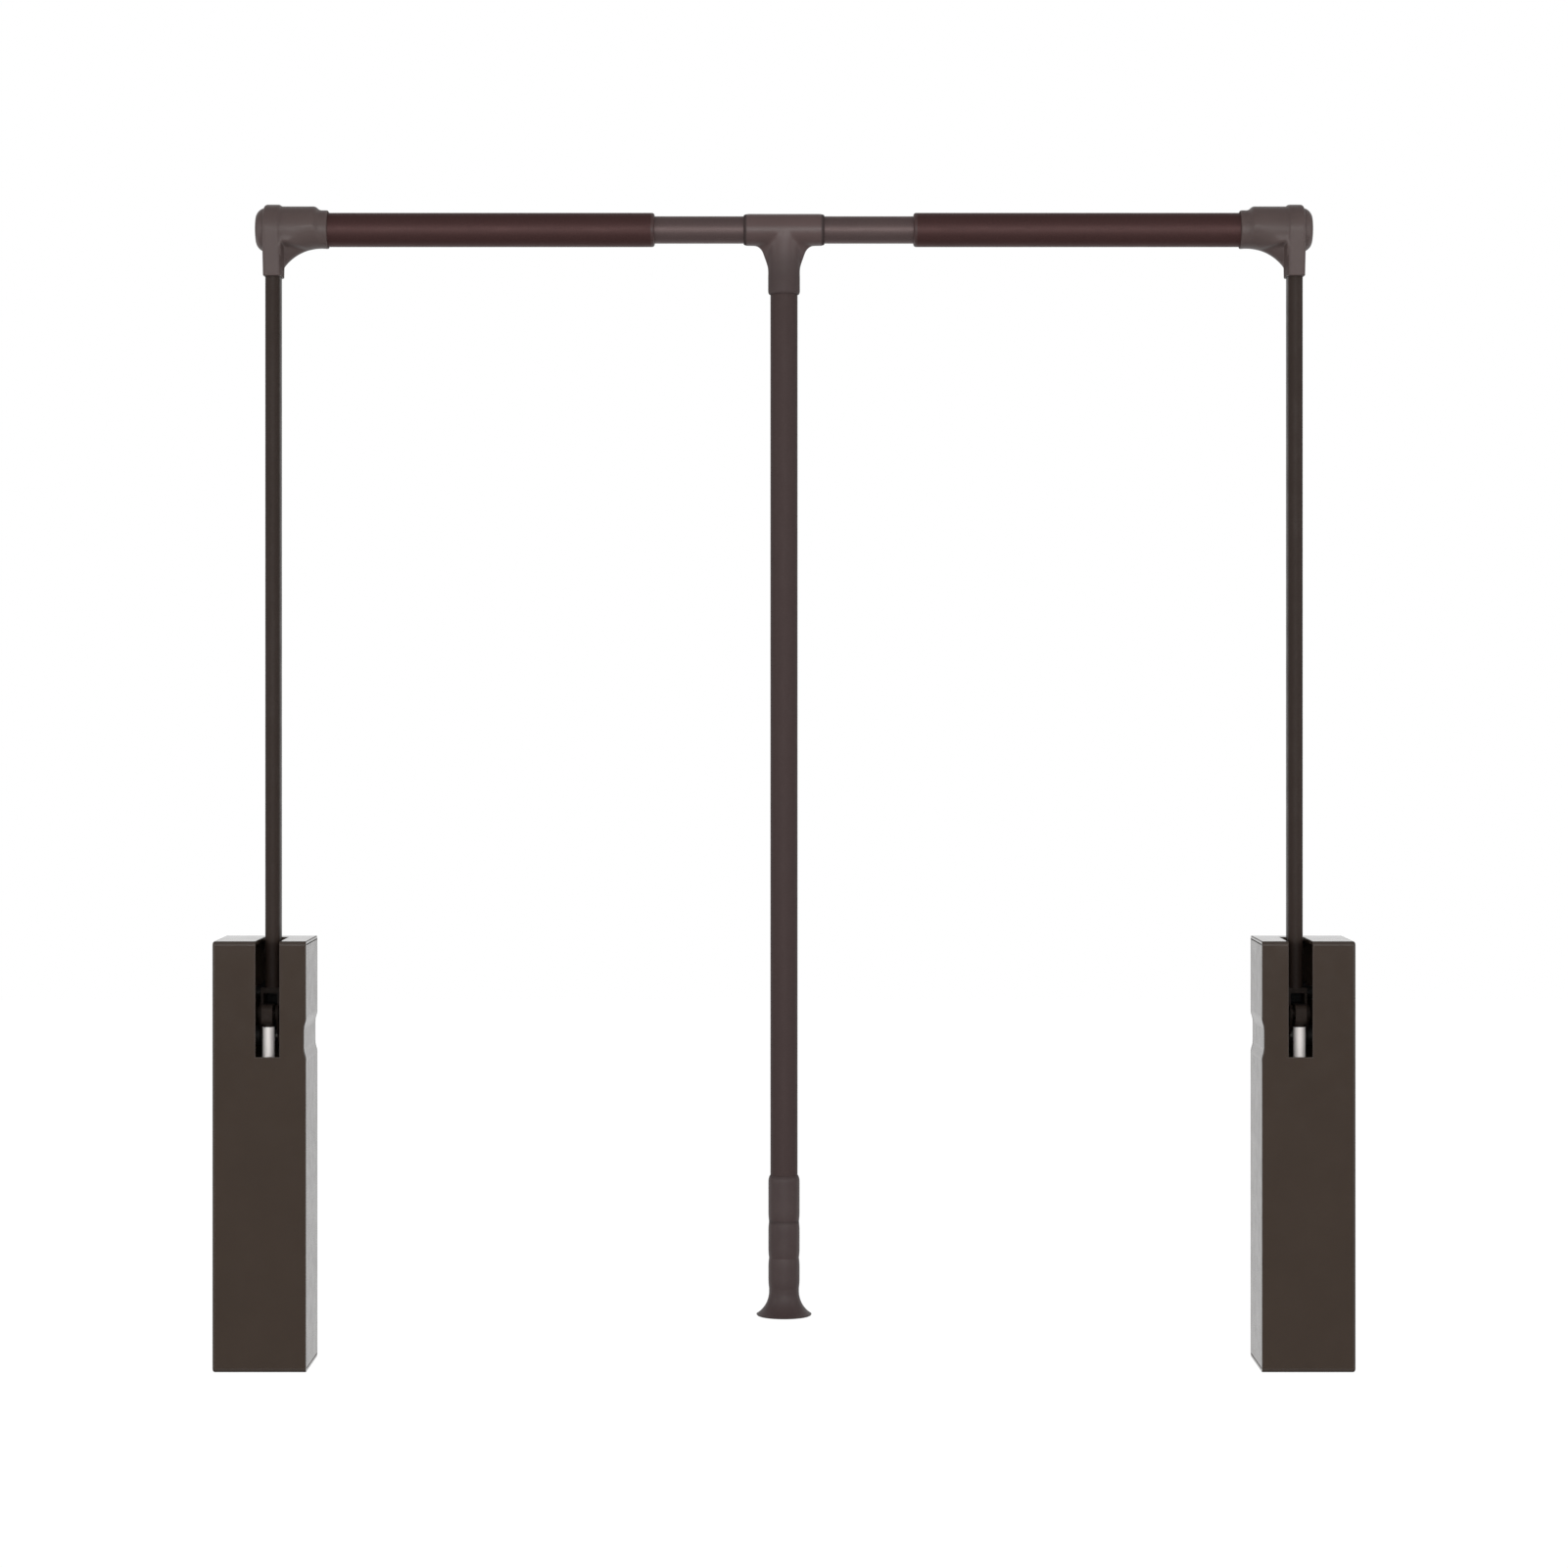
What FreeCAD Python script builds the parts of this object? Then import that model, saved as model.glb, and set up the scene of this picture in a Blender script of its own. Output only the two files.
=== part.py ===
import FreeCAD, Part
import math
import os

import Sketcher
from FreeCAD import Vector

# Pull-down clothes rail for a wardrobe: wall housings, swinging arms, a telescopic rail and a pull rod.
# Frame: millimetres, +Z up, front towards -Y, X across. The origin is level with the housings' undersides,
# midway between them and below the pivots. The left half is modelled and the right half mirrors it.

os.makedirs("parts", exist_ok=True)
doc = FreeCAD.newDocument("pull_down_clothes_rail")
sheet = doc.addObject("Spreadsheet::Sheet", "Sizes")


class Size:
    """A length or an angle: its value, and the sheet expression that gives it."""

    def __init__(self, value, text):
        self.value = value
        self.text = text

    def __add__(self, other):
        return Size(self.value + number(other), f"({self.text} + {words(other)})")

    __radd__ = __add__

    def __sub__(self, other):
        return Size(self.value - number(other), f"({self.text} - {words(other)})")

    def __rsub__(self, other):
        return Size(number(other) - self.value, f"({words(other)} - {self.text})")

    def __mul__(self, other):
        return Size(self.value * number(other), f"({self.text} * {words(other)})")

    __rmul__ = __mul__

    def __truediv__(self, other):
        return Size(self.value / number(other), f"({self.text} / {words(other)})")

    def __neg__(self):
        return Size(-self.value, f"(-1 * {self.text})")


def number(amount):
    return amount.value if isinstance(amount, Size) else amount


def words(amount):
    return amount.text if isinstance(amount, Size) else str(amount)


def cosine(angle):
    return Size(math.cos(math.radians(angle.value)), f"cos({angle.text})")


def sine(angle):
    return Size(math.sin(math.radians(angle.value)), f"sin({angle.text})")


def other_leg(long_side, short_side):
    """The third side of a right-angled triangle."""
    square = long_side * long_side - short_side * short_side
    return Size(math.sqrt(square.value), f"sqrt({square.text})")


def size(alias, value, note):
    """Write a driving dimension into the sheet and give it back."""
    size.row += 1
    sheet.set(f"A{size.row}", note)
    sheet.set(f"B{size.row}", str(value))
    sheet.setAlias(f"B{size.row}", alias)
    return Size(value, f"Sizes.{alias}")


size.row = 0

# Housings
overall_width = size("overall_width", 830, "outside of one housing to outside of the other")
housing_width = size("housing_width", 68, "housing, across")
housing_depth = size("housing_depth", 70, "housing, front to back")
housing_height = size("housing_height", 313, "housing, floor to top")
shell_wall = size("shell_wall", 2.5, "wall of the moulded shell")
shell_corner = size("shell_corner", 3, "outer corner of the shell, seen from the side")
shell_edge = size("shell_edge", 1.8, "rounded edge of the shell against the wall")
ledge_thick = size("ledge_thick", 2, "ledge inside the shell that the side cover sits on")
ledge_side = size("ledge_side", 2.2, "reach of the ledge at the front and the back")
ledge_end = size("ledge_end", 11, "reach of the ledge at the top and the bottom")
cover_depth = size("cover_depth", 7, "side cover with its rim")
cover_thick = size("cover_thick", 2, "side cover")
cover_rim = size("cover_rim", 1.5, "wall of the side cover's rim")
cover_gap = size("cover_gap", 0.25, "gap round the side cover")
groove_floor = size("groove_floor", 14, "flat floor of the finger groove, up and down")
groove_slope = size("groove_slope", 9, "curved end of the finger groove")
groove_depth = size("groove_depth", 1.5, "depth of the finger groove")
slot_width = size("slot_width", 17.4, "slot that the arm swings in")
slot_below = size("slot_below", 13, "pivot to the slot's lower end")
slot_back = size("slot_back", 16, "reach of the slot behind the pivot, in the top")

# Plates, spacers and fixings
arm_inset = size("arm_inset", 40, "wall face to the middle of the arm")
plate_thick = size("plate_thick", 2.5, "mounting plate")
inner_plate_thick = size("inner_plate_thick", 2, "inner plate")
plate_gap = size("plate_gap", 0.25, "gap round the plates")
fixing_dia = size("fixing_dia", 5.5, "fixing hole")
fixing_spread = size("fixing_spread", 28, "front fixing holes to the rear ones")
fixing_front = size("fixing_front", 4, "front fixing holes, ahead of the pivot")
fixing_low = size("fixing_low", 48, "height of the lower fixing holes")
fixing_below = size("fixing_below", 34, "pivot to the upper fixing holes")
access_dia = size("access_dia", 11, "screwdriver hole opposite a fixing hole")
spacer_dia = size("spacer_dia", 10, "spacer between the plates")
tenon_dia = size("tenon_dia", 6, "riveted end of a spacer")
spacer_back = size("spacer_back", 11, "lower spacers, behind the pivot")
spacer_low = size("spacer_low", 16, "height of the lowest spacer")
spacer_middle = size("spacer_middle", 128, "height of the middle spacer")
stop_above = size("stop_above", 30, "stop spacer, above the pivot")
buffer_wall = size("buffer_wall", 3.5, "rubber of the stop buffer")
buffer_length = size("buffer_length", 20, "stop buffer")
stop_gap = size("stop_gap", 0.4, "stop buffer to the raised arm fork")
shell_screw_dia = size("shell_screw_dia", 3, "screw that holds the shell")
shell_screw_head = size("shell_screw_head", 5.5, "head of that screw")
shell_screw_head_thick = size("shell_screw_head_thick", 1.8, "thickness of that head")
shell_screw_inset = size("shell_screw_inset", 5.5, "shell's inside to the middle of that screw")
driver_slot = size("driver_slot", 0.8, "width and depth of a screwdriver slot")

# Pins
pivot_drop = size("pivot_drop", 71, "housing's top to the arm's pivot")
pin_dia = size("pin_dia", 8, "pivot axle and strut foot pin")
pin_end = size("pin_end", 2.5, "pin beyond the inner plate")
sleeve_wall = size("sleeve_wall", 3, "distance sleeve on a pin")
clip_thick = size("clip_thick", 1, "spring clip")
clip_wall = size("clip_wall", 3, "ring of the spring clip")
clip_mouth = size("clip_mouth", 5, "opening of the spring clip")
clip_groove = size("clip_groove", 1, "depth of the groove that the clip snaps into")
fit_gap = size("fit_gap", 0.1, "play of a fixed fit, on the radius")
run_gap = size("run_gap", 0.25, "play of a running fit, on the radius")

# Arm fork and arm
fork_width = size("fork_width", 14, "arm fork, across")
fork_cheek = size("fork_cheek", 1.9, "cheek of the fork")
fork_bridge = size("fork_bridge", 4, "solid part of the fork under the arm tube")
hub_radius = size("hub_radius", 9, "hub of the fork")
bush_wall = size("bush_wall", 1, "pivot bush")
bush_flange = size("bush_flange", 1.2, "flange of the pivot bush, beyond its wall")
crank_radius = size("crank_radius", 24, "pivot to crank pin")
crank_angle = size("crank_angle", 46, "crank above the level when the arm is raised, degrees")
crank_lobe = size("crank_lobe", 6.5, "end of the crank, round its pin")
crank_pin_dia = size("crank_pin_dia", 6, "crank pin")
crank_pin_head = size("crank_pin_head", 1.2, "head of the crank pin, thickness and overhang")
tongue_length = size("tongue_length", 34, "tongue of the fork inside the arm tube")
arm_width = size("arm_width", 11, "arm tube, across")
arm_depth = size("arm_depth", 20, "arm tube, front to back")
arm_wall = size("arm_wall", 1.5, "wall of the arm tube")
rivet_dia = size("rivet_dia", 4, "arm rivet")
rivet_head = size("rivet_head", 1, "head of an arm rivet, thickness and overhang")
rivet_first = size("rivet_first", 10, "end of the arm tube to the first rivet")
rivet_pitch = size("rivet_pitch", 15, "first rivet to the second")

# Lifting strut
strut_offset = size("strut_offset", 1, "strut and fork, off the arm's middle towards the wall")
yoke_thick = size("yoke_thick", 8, "yoke on top of the strut's rod")
yoke_wall = size("yoke_wall", 3, "wall round the yoke's slot")
yoke_play = size("yoke_play", 1.1, "play of the crank pin in the slot, up and down")
yoke_end_play = size("yoke_end_play", 0.5, "play of the crank pin at the ends of the slot")
yoke_room = size("yoke_room", 1, "yoke to the solid part of the fork")
yoke_neck = size("yoke_neck", 2.3, "neck under the yoke")
strut_rod_dia = size("strut_rod_dia", 9, "rod of the strut")
stud_dia = size("stud_dia", 5, "threaded end of the rod in the yoke")
rod_reserve = size("rod_reserve", 6, "piston to the cylinder's closed end with the arm down")
piston_thick = size("piston_thick", 12, "piston on the rod")
piston_bore = size("piston_bore", 6, "turned-down end of the rod in the piston")
cylinder_dia = size("cylinder_dia", 20, "cylinder of the strut")
cylinder_wall = size("cylinder_wall", 1.2, "wall of the cylinder")
cylinder_floor = size("cylinder_floor", 46, "height of the cylinder's lower end")
cylinder_base = size("cylinder_base", 4, "thickness of the cylinder's closed end")
gland_reserve = size("gland_reserve", 5, "yoke's neck to the gland with the arm down")
gland_flange = size("gland_flange", 5, "gland above the cylinder")
gland_plug = size("gland_plug", 12, "gland inside the cylinder")
foot_height = size("foot_height", 30, "height of the strut's foot pin")
foot_eye = size("foot_eye", 9, "radius of the eye at the strut's foot")
foot_thick = size("foot_thick", 9, "eye at the strut's foot, across")

# Elbow
rail_height = size("rail_height", 833.5, "height of the rail's axis")
elbow_width = size("elbow_width", 13, "elbow's column, across")
elbow_head = size("elbow_head", 18.5, "radius of the elbow's head")
elbow_leg = size("elbow_leg", 26, "elbow's leg, front to back")
elbow_drop = size("elbow_drop", 34.8, "rail's axis to the elbow's lower end")
elbow_round = size("elbow_round", 2.5, "rounded edges of the elbow's column")
elbow_socket = size("elbow_socket", 29, "depth of the arm's socket in the elbow")
barrel_radius = size("barrel_radius", 17.2, "elbow's barrel round the rail")
barrel_reach = size("barrel_reach", 29.5, "arm's middle to the end of the barrel")
shoulder_run = size("shoulder_run", 6, "curved shoulder of the barrel, along the rail")
collar_radius = size("collar_radius", 14.4, "elbow's collar beyond the shoulder")
collar_tip = size("collar_tip", 13.1, "elbow's collar at its rounded tip")
collar_reach = size("collar_reach", 40.5, "arm's middle to the tip of the collar")
web_thick = size("web_thick", 32.4, "filling between barrel and column, front to back")
web_round = size("web_round", 34, "hollow curve of the saddle under the barrel")
web_tip = size("web_tip", 13.7, "rail's axis to that curve, under the collar")
cap_radius = size("cap_radius", 16, "cap on the elbow's outer end")
cap_flat = size("cap_flat", 11, "flat of that cap")
cap_thick = size("cap_thick", 5.8, "thickness of that cap")
cap_round = size("cap_round", 8, "rounding of that cap")
cap_stem = size("cap_stem", 4, "radius of the cap's stem")
cap_stem_length = size("cap_stem_length", 1.2, "stem of the cap in the elbow")
grub_dia = size("grub_dia", 5, "grub screw")
grub_socket = size("grub_socket", 2.5, "width of the key socket in a grub screw")
grub_socket_depth = size("grub_socket_depth", 1, "depth of that socket")
arm_grub_rise = size("arm_grub_rise", 12, "elbow's lower end to the arm's grub screw")
tube_grub_inset = size("tube_grub_inset", 20, "arm's middle to the outer tube's grub screw")

# Telescopic rail
outer_tube_dia = size("outer_tube_dia", 25, "outer tube of the rail")
outer_tube_wall = size("outer_tube_wall", 1.2, "wall of the outer tube")
mouth = size("mouth", 95, "middle of the rail to the mouth of an outer tube")
mouth_lip = size("mouth_lip", 2.6, "lip of the mouth bush")
mouth_round = size("mouth_round", 2, "rounded edge of that lip")
mouth_sleeve = size("mouth_sleeve", 24, "mouth bush inside the outer tube")
inner_rail_dia = size("inner_rail_dia", 20, "inner tube of the rail")
inner_rail_wall = size("inner_rail_wall", 1.2, "wall of the inner tube")
end_reserve = size("end_reserve", 3.75, "elbow to the bush on the inner tube's end, rail pushed together")
end_flange = size("end_flange", 5, "flange of the bush on the inner tube's end")
end_plug = size("end_plug", 16, "plug of that bush in the inner tube")

# Pull rod
tee_dia = size("tee_dia", 23.5, "sleeve of the tee on the rail")
tee_length = size("tee_length", 60.5, "length of that sleeve")
tee_taper = size("tee_taper", 4.5, "rounded end of that sleeve, along the rail")
tee_lip = size("tee_lip", 0.3, "thickness that the tee keeps at its ends")
tee_leg_dia = size("tee_leg_dia", 23.4, "leg of the tee")
tee_drop = size("tee_drop", 48, "rail's axis to the end of the tee's leg")
tee_leg_taper = size("tee_leg_taper", 2.8, "rounded end of the tee's leg")
tee_web_thick = size("tee_web_thick", 16.6, "web of the tee, front to back")
tee_web_draft = size("tee_web_draft", 51, "slope of the web's faces towards its edges, degrees")
tee_web_rise = size("tee_web_rise", 11, "web inside the sleeve, above the rail's axis")
tee_web_round = size("tee_web_round", 8.5, "hollow curve of the tee's web under the sleeve")
tee_web_reach = size("tee_web_reach", 24, "middle of the tee to the end of that curve")
tee_web_lean = size("tee_web_lean", 19.5, "lean of the web's edges below that curve, degrees")
pull_dia = size("pull_dia", 20, "pull tube")
pull_wall = size("pull_wall", 1.2, "wall of the pull tube")
pull_seat = size("pull_seat", 30, "pull tube inside the tee's leg")
pull_foot = size("pull_foot", 60, "height of the pull tube's lower end")
tee_grub_rise = size("tee_grub_rise", 9, "end of the tee's leg to its grub screw")
rail_grub_offset = size("rail_grub_offset", 18, "middle of the tee to the grub screw on the rail")
collar_top = size("collar_top", 139, "height of the handle's upper end")
collar_taper = size("collar_taper", 4.5, "rounded upper end of the handle's collar")
collar_lip = size("collar_lip", 10.4, "radius of the collar's upper lip")
grip_radius = size("grip_radius", 11.5, "handle at its swells")
grip_waist = size("grip_waist", 11, "handle at its waists and its seam")
grip_ease = size("grip_ease", 7, "curve from a waist to the full handle")
grip_seam = size("grip_seam", 105.2, "height of the seam between collar and grip")
grip_first_waist = size("grip_first_waist", 78.6, "height of the grip's upper waist")
grip_second_waist = size("grip_second_waist", 56.3, "height of the grip's lower waist")
collar_grub_rise = size("collar_grub_rise", 17, "seam to the collar's grub screw")
flare_radius = size("flare_radius", 20.2, "flared end of the handle")
flare_rise = size("flare_rise", 16.5, "height of the flare's hollow curve")
rim_thick = size("rim_thick", 1.2, "rim of the flare")
handle_bottom = size("handle_bottom", 36.2, "height of the handle's lower end")
cup_radius = size("cup_radius", 14, "hollow under the handle")
cup_depth = size("cup_depth", 5, "depth of that hollow")

# Places that several pieces share
wall_x = -overall_width / 2
arm_x = wall_x + arm_inset
inner_x = wall_x + housing_width
inner_plate_inset = housing_width - cover_depth - ledge_thick - inner_plate_thick
inner_plate_x = wall_x + inner_plate_inset
ledge_x = inner_plate_x + inner_plate_thick
half_depth = housing_depth / 2
pivot_height = housing_height - pivot_drop
slot_floor = pivot_height - slot_below
strut_x = arm_x - strut_offset
fork_left = strut_x - fork_width / 2
fork_right = strut_x + fork_width / 2
crank_y = -crank_radius * cosine(crank_angle)
crank_z = pivot_height + crank_radius * sine(crank_angle)
crank_shift = (crank_radius + crank_y) / 2
strut_y = (crank_y - crank_radius) / 2
yoke_slot_half = crank_pin_dia / 2 + yoke_play
yoke_floor = crank_z - yoke_slot_half - yoke_wall
rod_top = yoke_floor - yoke_neck
crank_drop = crank_radius * (sine(crank_angle) + cosine(crank_angle))
cylinder_rim = rod_top - crank_drop - gland_reserve - gland_flange
cylinder_inside = cylinder_floor + cylinder_base
rod_foot = cylinder_inside + crank_drop + rod_reserve
stop_y = arm_depth / 2 + stop_gap + buffer_wall + spacer_dia / 2
stop_z = pivot_height + stop_above
fork_opening = crank_radius + crank_pin_dia / 2 + yoke_end_play + yoke_wall + yoke_room
fork_reach = fork_opening + fork_bridge
tube_start = pivot_height + fork_reach
outer_tube_start = arm_x + elbow_width / 2
inner_rail_half = -outer_tube_start - end_reserve - end_flange - run_gap
elbow_bottom = rail_height - elbow_drop
pins = {"pivot": (0, pivot_height), "foot": (strut_y, foot_height)}
spacers = [(stop_y, stop_z), (spacer_back, spacer_low), (spacer_back, spacer_middle)]
fixings = [
    (column, row)
    for column in (-fixing_front, fixing_spread - fixing_front)
    for row in (fixing_low, pivot_height - fixing_below)
]
screw_y = half_depth - shell_wall - shell_screw_inset
screw_low = shell_wall + shell_screw_inset
shell_screws = [
    (side * screw_y, height)
    for side in (-1, 1)
    for height in (screw_low, housing_height - screw_low)
]


def bind(thing, name, amount):
    thing.setExpression(name, words(amount))


def place(thing, corner):
    for axis, amount in zip("xyz", corner):
        bind(thing, f"Placement.Base.{axis}", amount)


def block(corner, extent):
    """A box from its lowest corner."""
    solid = doc.addObject("Part::Box", "block")
    for name, amount in zip(("Length", "Width", "Height"), extent):
        bind(solid, name, amount)
    place(solid, corner)
    return solid


def rod(axis, start, radius, length):
    """A round bar along an axis, from the middle of its lower end."""
    turns = {
        "x": FreeCAD.Rotation(Vector(0, 1, 0), 90),
        "y": FreeCAD.Rotation(Vector(1, 0, 0), -90),
        "z": FreeCAD.Rotation(),
    }
    solid = doc.addObject("Part::Cylinder", "rod")
    bind(solid, "Radius", radius)
    bind(solid, "Height", length)
    solid.Placement = FreeCAD.Placement(Vector(), turns[axis])
    place(solid, start)
    return solid


def fuse(*solids):
    joined = doc.addObject("Part::MultiFuse", "joined")
    joined.Shapes = list(solids)
    return joined


def cut(base, *tools):
    left = doc.addObject("Part::Cut", "cut")
    left.Base = base
    left.Tool = tools[0] if len(tools) == 1 else fuse(*tools)
    return left


def ring(axis, start, outer, inner, length):
    """A tube with its bore right through."""
    return cut(rod(axis, start, outer, length), rod(axis, start, inner, length))


def group(*solids):
    """Separate solids that share a node."""
    together = doc.addObject("Part::Compound", "together")
    together.Links = list(solids)
    return together


nodes = []


def node(label, thing):
    thing.Label = label
    nodes.append(thing)


def new_body(name):
    return doc.addObject("PartDesign::Body", name)


def draw(body, plane, across=0, up=0, out=0):
    """A sketch on one of the body's own planes, shifted in that plane and out of it."""
    sketch = body.newObject("Sketcher::SketchObject", "sketch")
    support = next(item for item in body.Origin.OriginFeatures if item.Role == plane)
    sketch.AttachmentSupport = (support, [""])
    sketch.MapMode = "FlatFace"
    for axis, amount in zip("xyz", (across, up, out)):
        bind(sketch, f"AttachmentOffset.Base.{axis}", amount)
    return sketch


def fix(sketch, amount, kind, *where):
    index = sketch.addConstraint(Sketcher.Constraint(kind, *where, number(amount)))
    sketch.setExpression(f"Constraints[{index}]", words(amount))


def arc_between(start, stop, radius, turn):
    """The arc under a half circle from start to stop; turn is 1 to the left and -1 to the right."""
    chord = stop - start
    height = math.sqrt(max(radius**2 - (chord.Length / 2) ** 2, 0))
    side = Vector(-chord.y, chord.x, 0).normalize() * turn
    centre = start + chord / 2 + side * height
    ends = (start, stop) if turn > 0 else (stop, start)
    angles = [math.atan2(end.y - centre.y, end.x - centre.x) for end in ends]
    return Part.ArcOfCircle(Part.Circle(centre, Vector(0, 0, 1), radius), *angles)


def outline(sketch, corners):
    """A closed outline. A corner is (across, up), or (across, up, radius, turn) where an arc ends there."""
    points = [Vector(number(corner[0]), number(corner[1]), 0) for corner in corners]
    edges = []
    for index, corner in enumerate(corners):
        start, stop = points[index - 1], points[index]
        if len(corner) == 2:
            edge = sketch.addGeometry(Part.LineSegment(start, stop))
            edges.append((edge, 1, 2))
        else:
            radius, turn = corner[2:]
            edge = sketch.addGeometry(arc_between(start, stop, number(radius), turn))
            edges.append((edge, 1, 2) if turn > 0 else (edge, 2, 1))
    for ending, following in zip(edges, edges[1:] + edges[:1]):
        sketch.addConstraint(Sketcher.Constraint("Coincident", ending[0], ending[2], *following[:2]))
    for (edge, _, head), corner in zip(edges, corners):
        fix(sketch, corner[0], "DistanceX", -1, 1, edge, head)
        fix(sketch, corner[1], "DistanceY", -1, 1, edge, head)
        if len(corner) > 2:
            fix(sketch, corner[2], "Radius", edge)


def circle(sketch, across, up, radius):
    spot = Vector(number(across), number(up), 0)
    edge = sketch.addGeometry(Part.Circle(spot, Vector(0, 0, 1), number(radius)))
    fix(sketch, across, "DistanceX", -1, 1, edge, 3)
    fix(sketch, up, "DistanceY", -1, 1, edge, 3)
    fix(sketch, radius, "Radius", edge)


def rectangle(left, low, right, high):
    return [(left, low), (right, low), (right, high), (left, high)]


def rounded_rectangle(left, low, right, high, radius):
    return [
        (right - radius, low),
        (right, low + radius, radius, 1),
        (right, high - radius),
        (right - radius, high, radius, 1),
        (left + radius, high),
        (left, high - radius, radius, 1),
        (left, low + radius),
        (left + radius, low, radius, 1),
    ]


def flat_oval(width, depth):
    """Two straight sides joined by round ends, about the middle of the sketch."""
    side = width / 2
    straight = (depth - width) / 2
    end = depth / 2
    return [
        (side, straight),
        (0, end, side, 1),
        (-side, straight, side, 1),
        (-side, -straight),
        (0, -end, side, 1),
        (side, -straight, side, 1),
    ]


def bulge(length, height):
    """Radius of an arc that stands out by a height over a length."""
    return (length * length / 4 + height * height) / (height * 2)


def pad(body, sketch, length, kind="Pad", backwards=False):
    """Extrude a sketch along its normal, adding or taking away."""
    feature = body.newObject(f"PartDesign::{kind}", kind.lower())
    feature.Profile = sketch
    bind(feature, "Length", length)
    feature.Reversed = backwards
    return feature


def turn_round(body, sketch, axis):
    """Revolve a sketch a full turn about one of its own axes."""
    feature = body.newObject("PartDesign::Revolution", "revolution")
    feature.Profile = sketch
    feature.ReferenceAxis = (sketch, [axis])
    feature.Angle = 360
    return feature


def turned(corners, plane, axis, **shift):
    """A body made by turning one outline."""
    body = new_body("turned")
    sketch = draw(body, plane, **shift)
    outline(sketch, corners)
    turn_round(body, sketch, axis)
    return body


def plate(label, face_x, thick, pin_holes):
    """A steel plate that stands across the housing, with holes for pins, spacers and screws."""
    body = new_body("plate")
    sketch = draw(body, "YZ_Plane", out=face_x)
    edge_y = half_depth - shell_wall - plate_gap
    edge_z = shell_wall + plate_gap
    outline(sketch, rectangle(-edge_y, edge_z, edge_y, housing_height - edge_z))
    for y, z, radius in pin_holes:
        circle(sketch, y, z, radius)
    for y, z in pins.values():
        circle(sketch, y, z, pin_dia / 2 + fit_gap)
    for y, z in spacers:
        circle(sketch, y, z, tenon_dia / 2 + fit_gap)
    pad(body, sketch, thick)
    node(label, body)


def housing_shell():
    """Moulded shell, open to the wall and to the room, with a ledge inside for the side cover."""
    body = new_body("shell")
    walls = draw(body, "YZ_Plane", out=wall_x)
    outline(walls, rounded_rectangle(-half_depth, 0, half_depth, housing_height, shell_corner))
    inside_y = half_depth - shell_wall
    inside_top = housing_height - shell_wall
    outline(walls, rectangle(-inside_y, shell_wall, inside_y, inside_top))
    box = pad(body, walls, housing_width)
    doc.recompute()
    wall_side = min(box.Shape.Faces, key=lambda face: face.CenterOfMass.x)
    round_edges(body, box, shell_edge, wall_side.OuterWire.Edges)
    ledge = draw(body, "YZ_Plane", out=ledge_x)
    rooted = shell_wall / 2
    outline(ledge, rectangle(-half_depth + rooted, rooted, half_depth - rooted, housing_height - rooted))
    opening_y = inside_y - ledge_side
    outline(ledge, rectangle(-opening_y, shell_wall + ledge_end, opening_y, inside_top - ledge_end))
    for y, z in shell_screws:
        circle(ledge, y, z, shell_screw_dia / 2 + fit_gap)
    pad(body, ledge, ledge_thick)
    slot = draw(body, "XZ_Plane", out=half_depth)
    slot_left = arm_x - slot_width / 2
    slot_right = arm_x + slot_width / 2
    outline(slot, rectangle(slot_left, slot_floor, slot_right, housing_height))
    pad(body, slot, half_depth + slot_back, "Pocket")
    groove = draw(body, "XZ_Plane", out=half_depth)
    outline(groove, groove_outline())
    pad(body, groove, housing_depth, "Pocket")
    node("left_housing_shell", body)


def round_edges(body, feature, radius, wanted):
    """Round those edges of a body's last feature that are wanted."""
    rounding = body.newObject("PartDesign::Fillet", "rounding")
    rounding.Base = (
        feature,
        [
            f"Edge{index}"
            for index, edge in enumerate(feature.Shape.Edges, start=1)
            if any(edge.isSame(other) for other in wanted)
        ],
    )
    bind(rounding, "Radius", radius)


def groove_outline():
    """The finger groove's section in the housing's inner side, level with the pivot."""
    flat = groove_floor / 2
    middle = flat + groove_slope / 2
    wide = flat + groove_slope
    half_way = inner_x - groove_depth / 2
    floor_x = inner_x - groove_depth
    ease = bulge(groove_slope, groove_depth / 2)
    return [
        (inner_x, pivot_height - wide, ease, -1),
        (inner_x, pivot_height + wide),
        (half_way, pivot_height + middle, ease, -1),
        (floor_x, pivot_height + flat, ease, 1),
        (floor_x, pivot_height - flat),
        (half_way, pivot_height - middle, ease, 1),
    ]


def side_cover():
    """Snap-in cover that closes the shell towards the room, thicker behind the finger groove."""
    body = new_body("cover")
    edge_y = half_depth - shell_wall - cover_gap
    low = shell_wall + cover_gap
    high = housing_height - low
    back_x = inner_x - cover_thick
    boss_x = back_x - groove_depth
    wide = groove_floor / 2 + groove_slope
    panel = draw(body, "XZ_Plane", out=-edge_y)
    outline(
        panel,
        [
            (back_x, low),
            (inner_x, low),
            (inner_x, high),
            (back_x, high),
            (back_x, pivot_height + wide),
            (boss_x, pivot_height + wide),
            (boss_x, pivot_height - wide),
            (back_x, pivot_height - wide),
        ],
    )
    pad(body, panel, edge_y * 2)
    groove = draw(body, "XZ_Plane", out=edge_y)
    outline(groove, groove_outline())
    pad(body, groove, edge_y * 2, "Pocket")
    rim_start = ledge_x + ledge_thick
    rim = draw(body, "YZ_Plane", out=rim_start)
    outline(rim, rectangle(-edge_y, low, edge_y, high))
    outline(rim, rectangle(-edge_y + cover_rim, low + cover_rim, edge_y - cover_rim, high - cover_rim))
    pad(body, rim, back_x - rim_start)
    node("left_side_cover", body)


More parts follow.
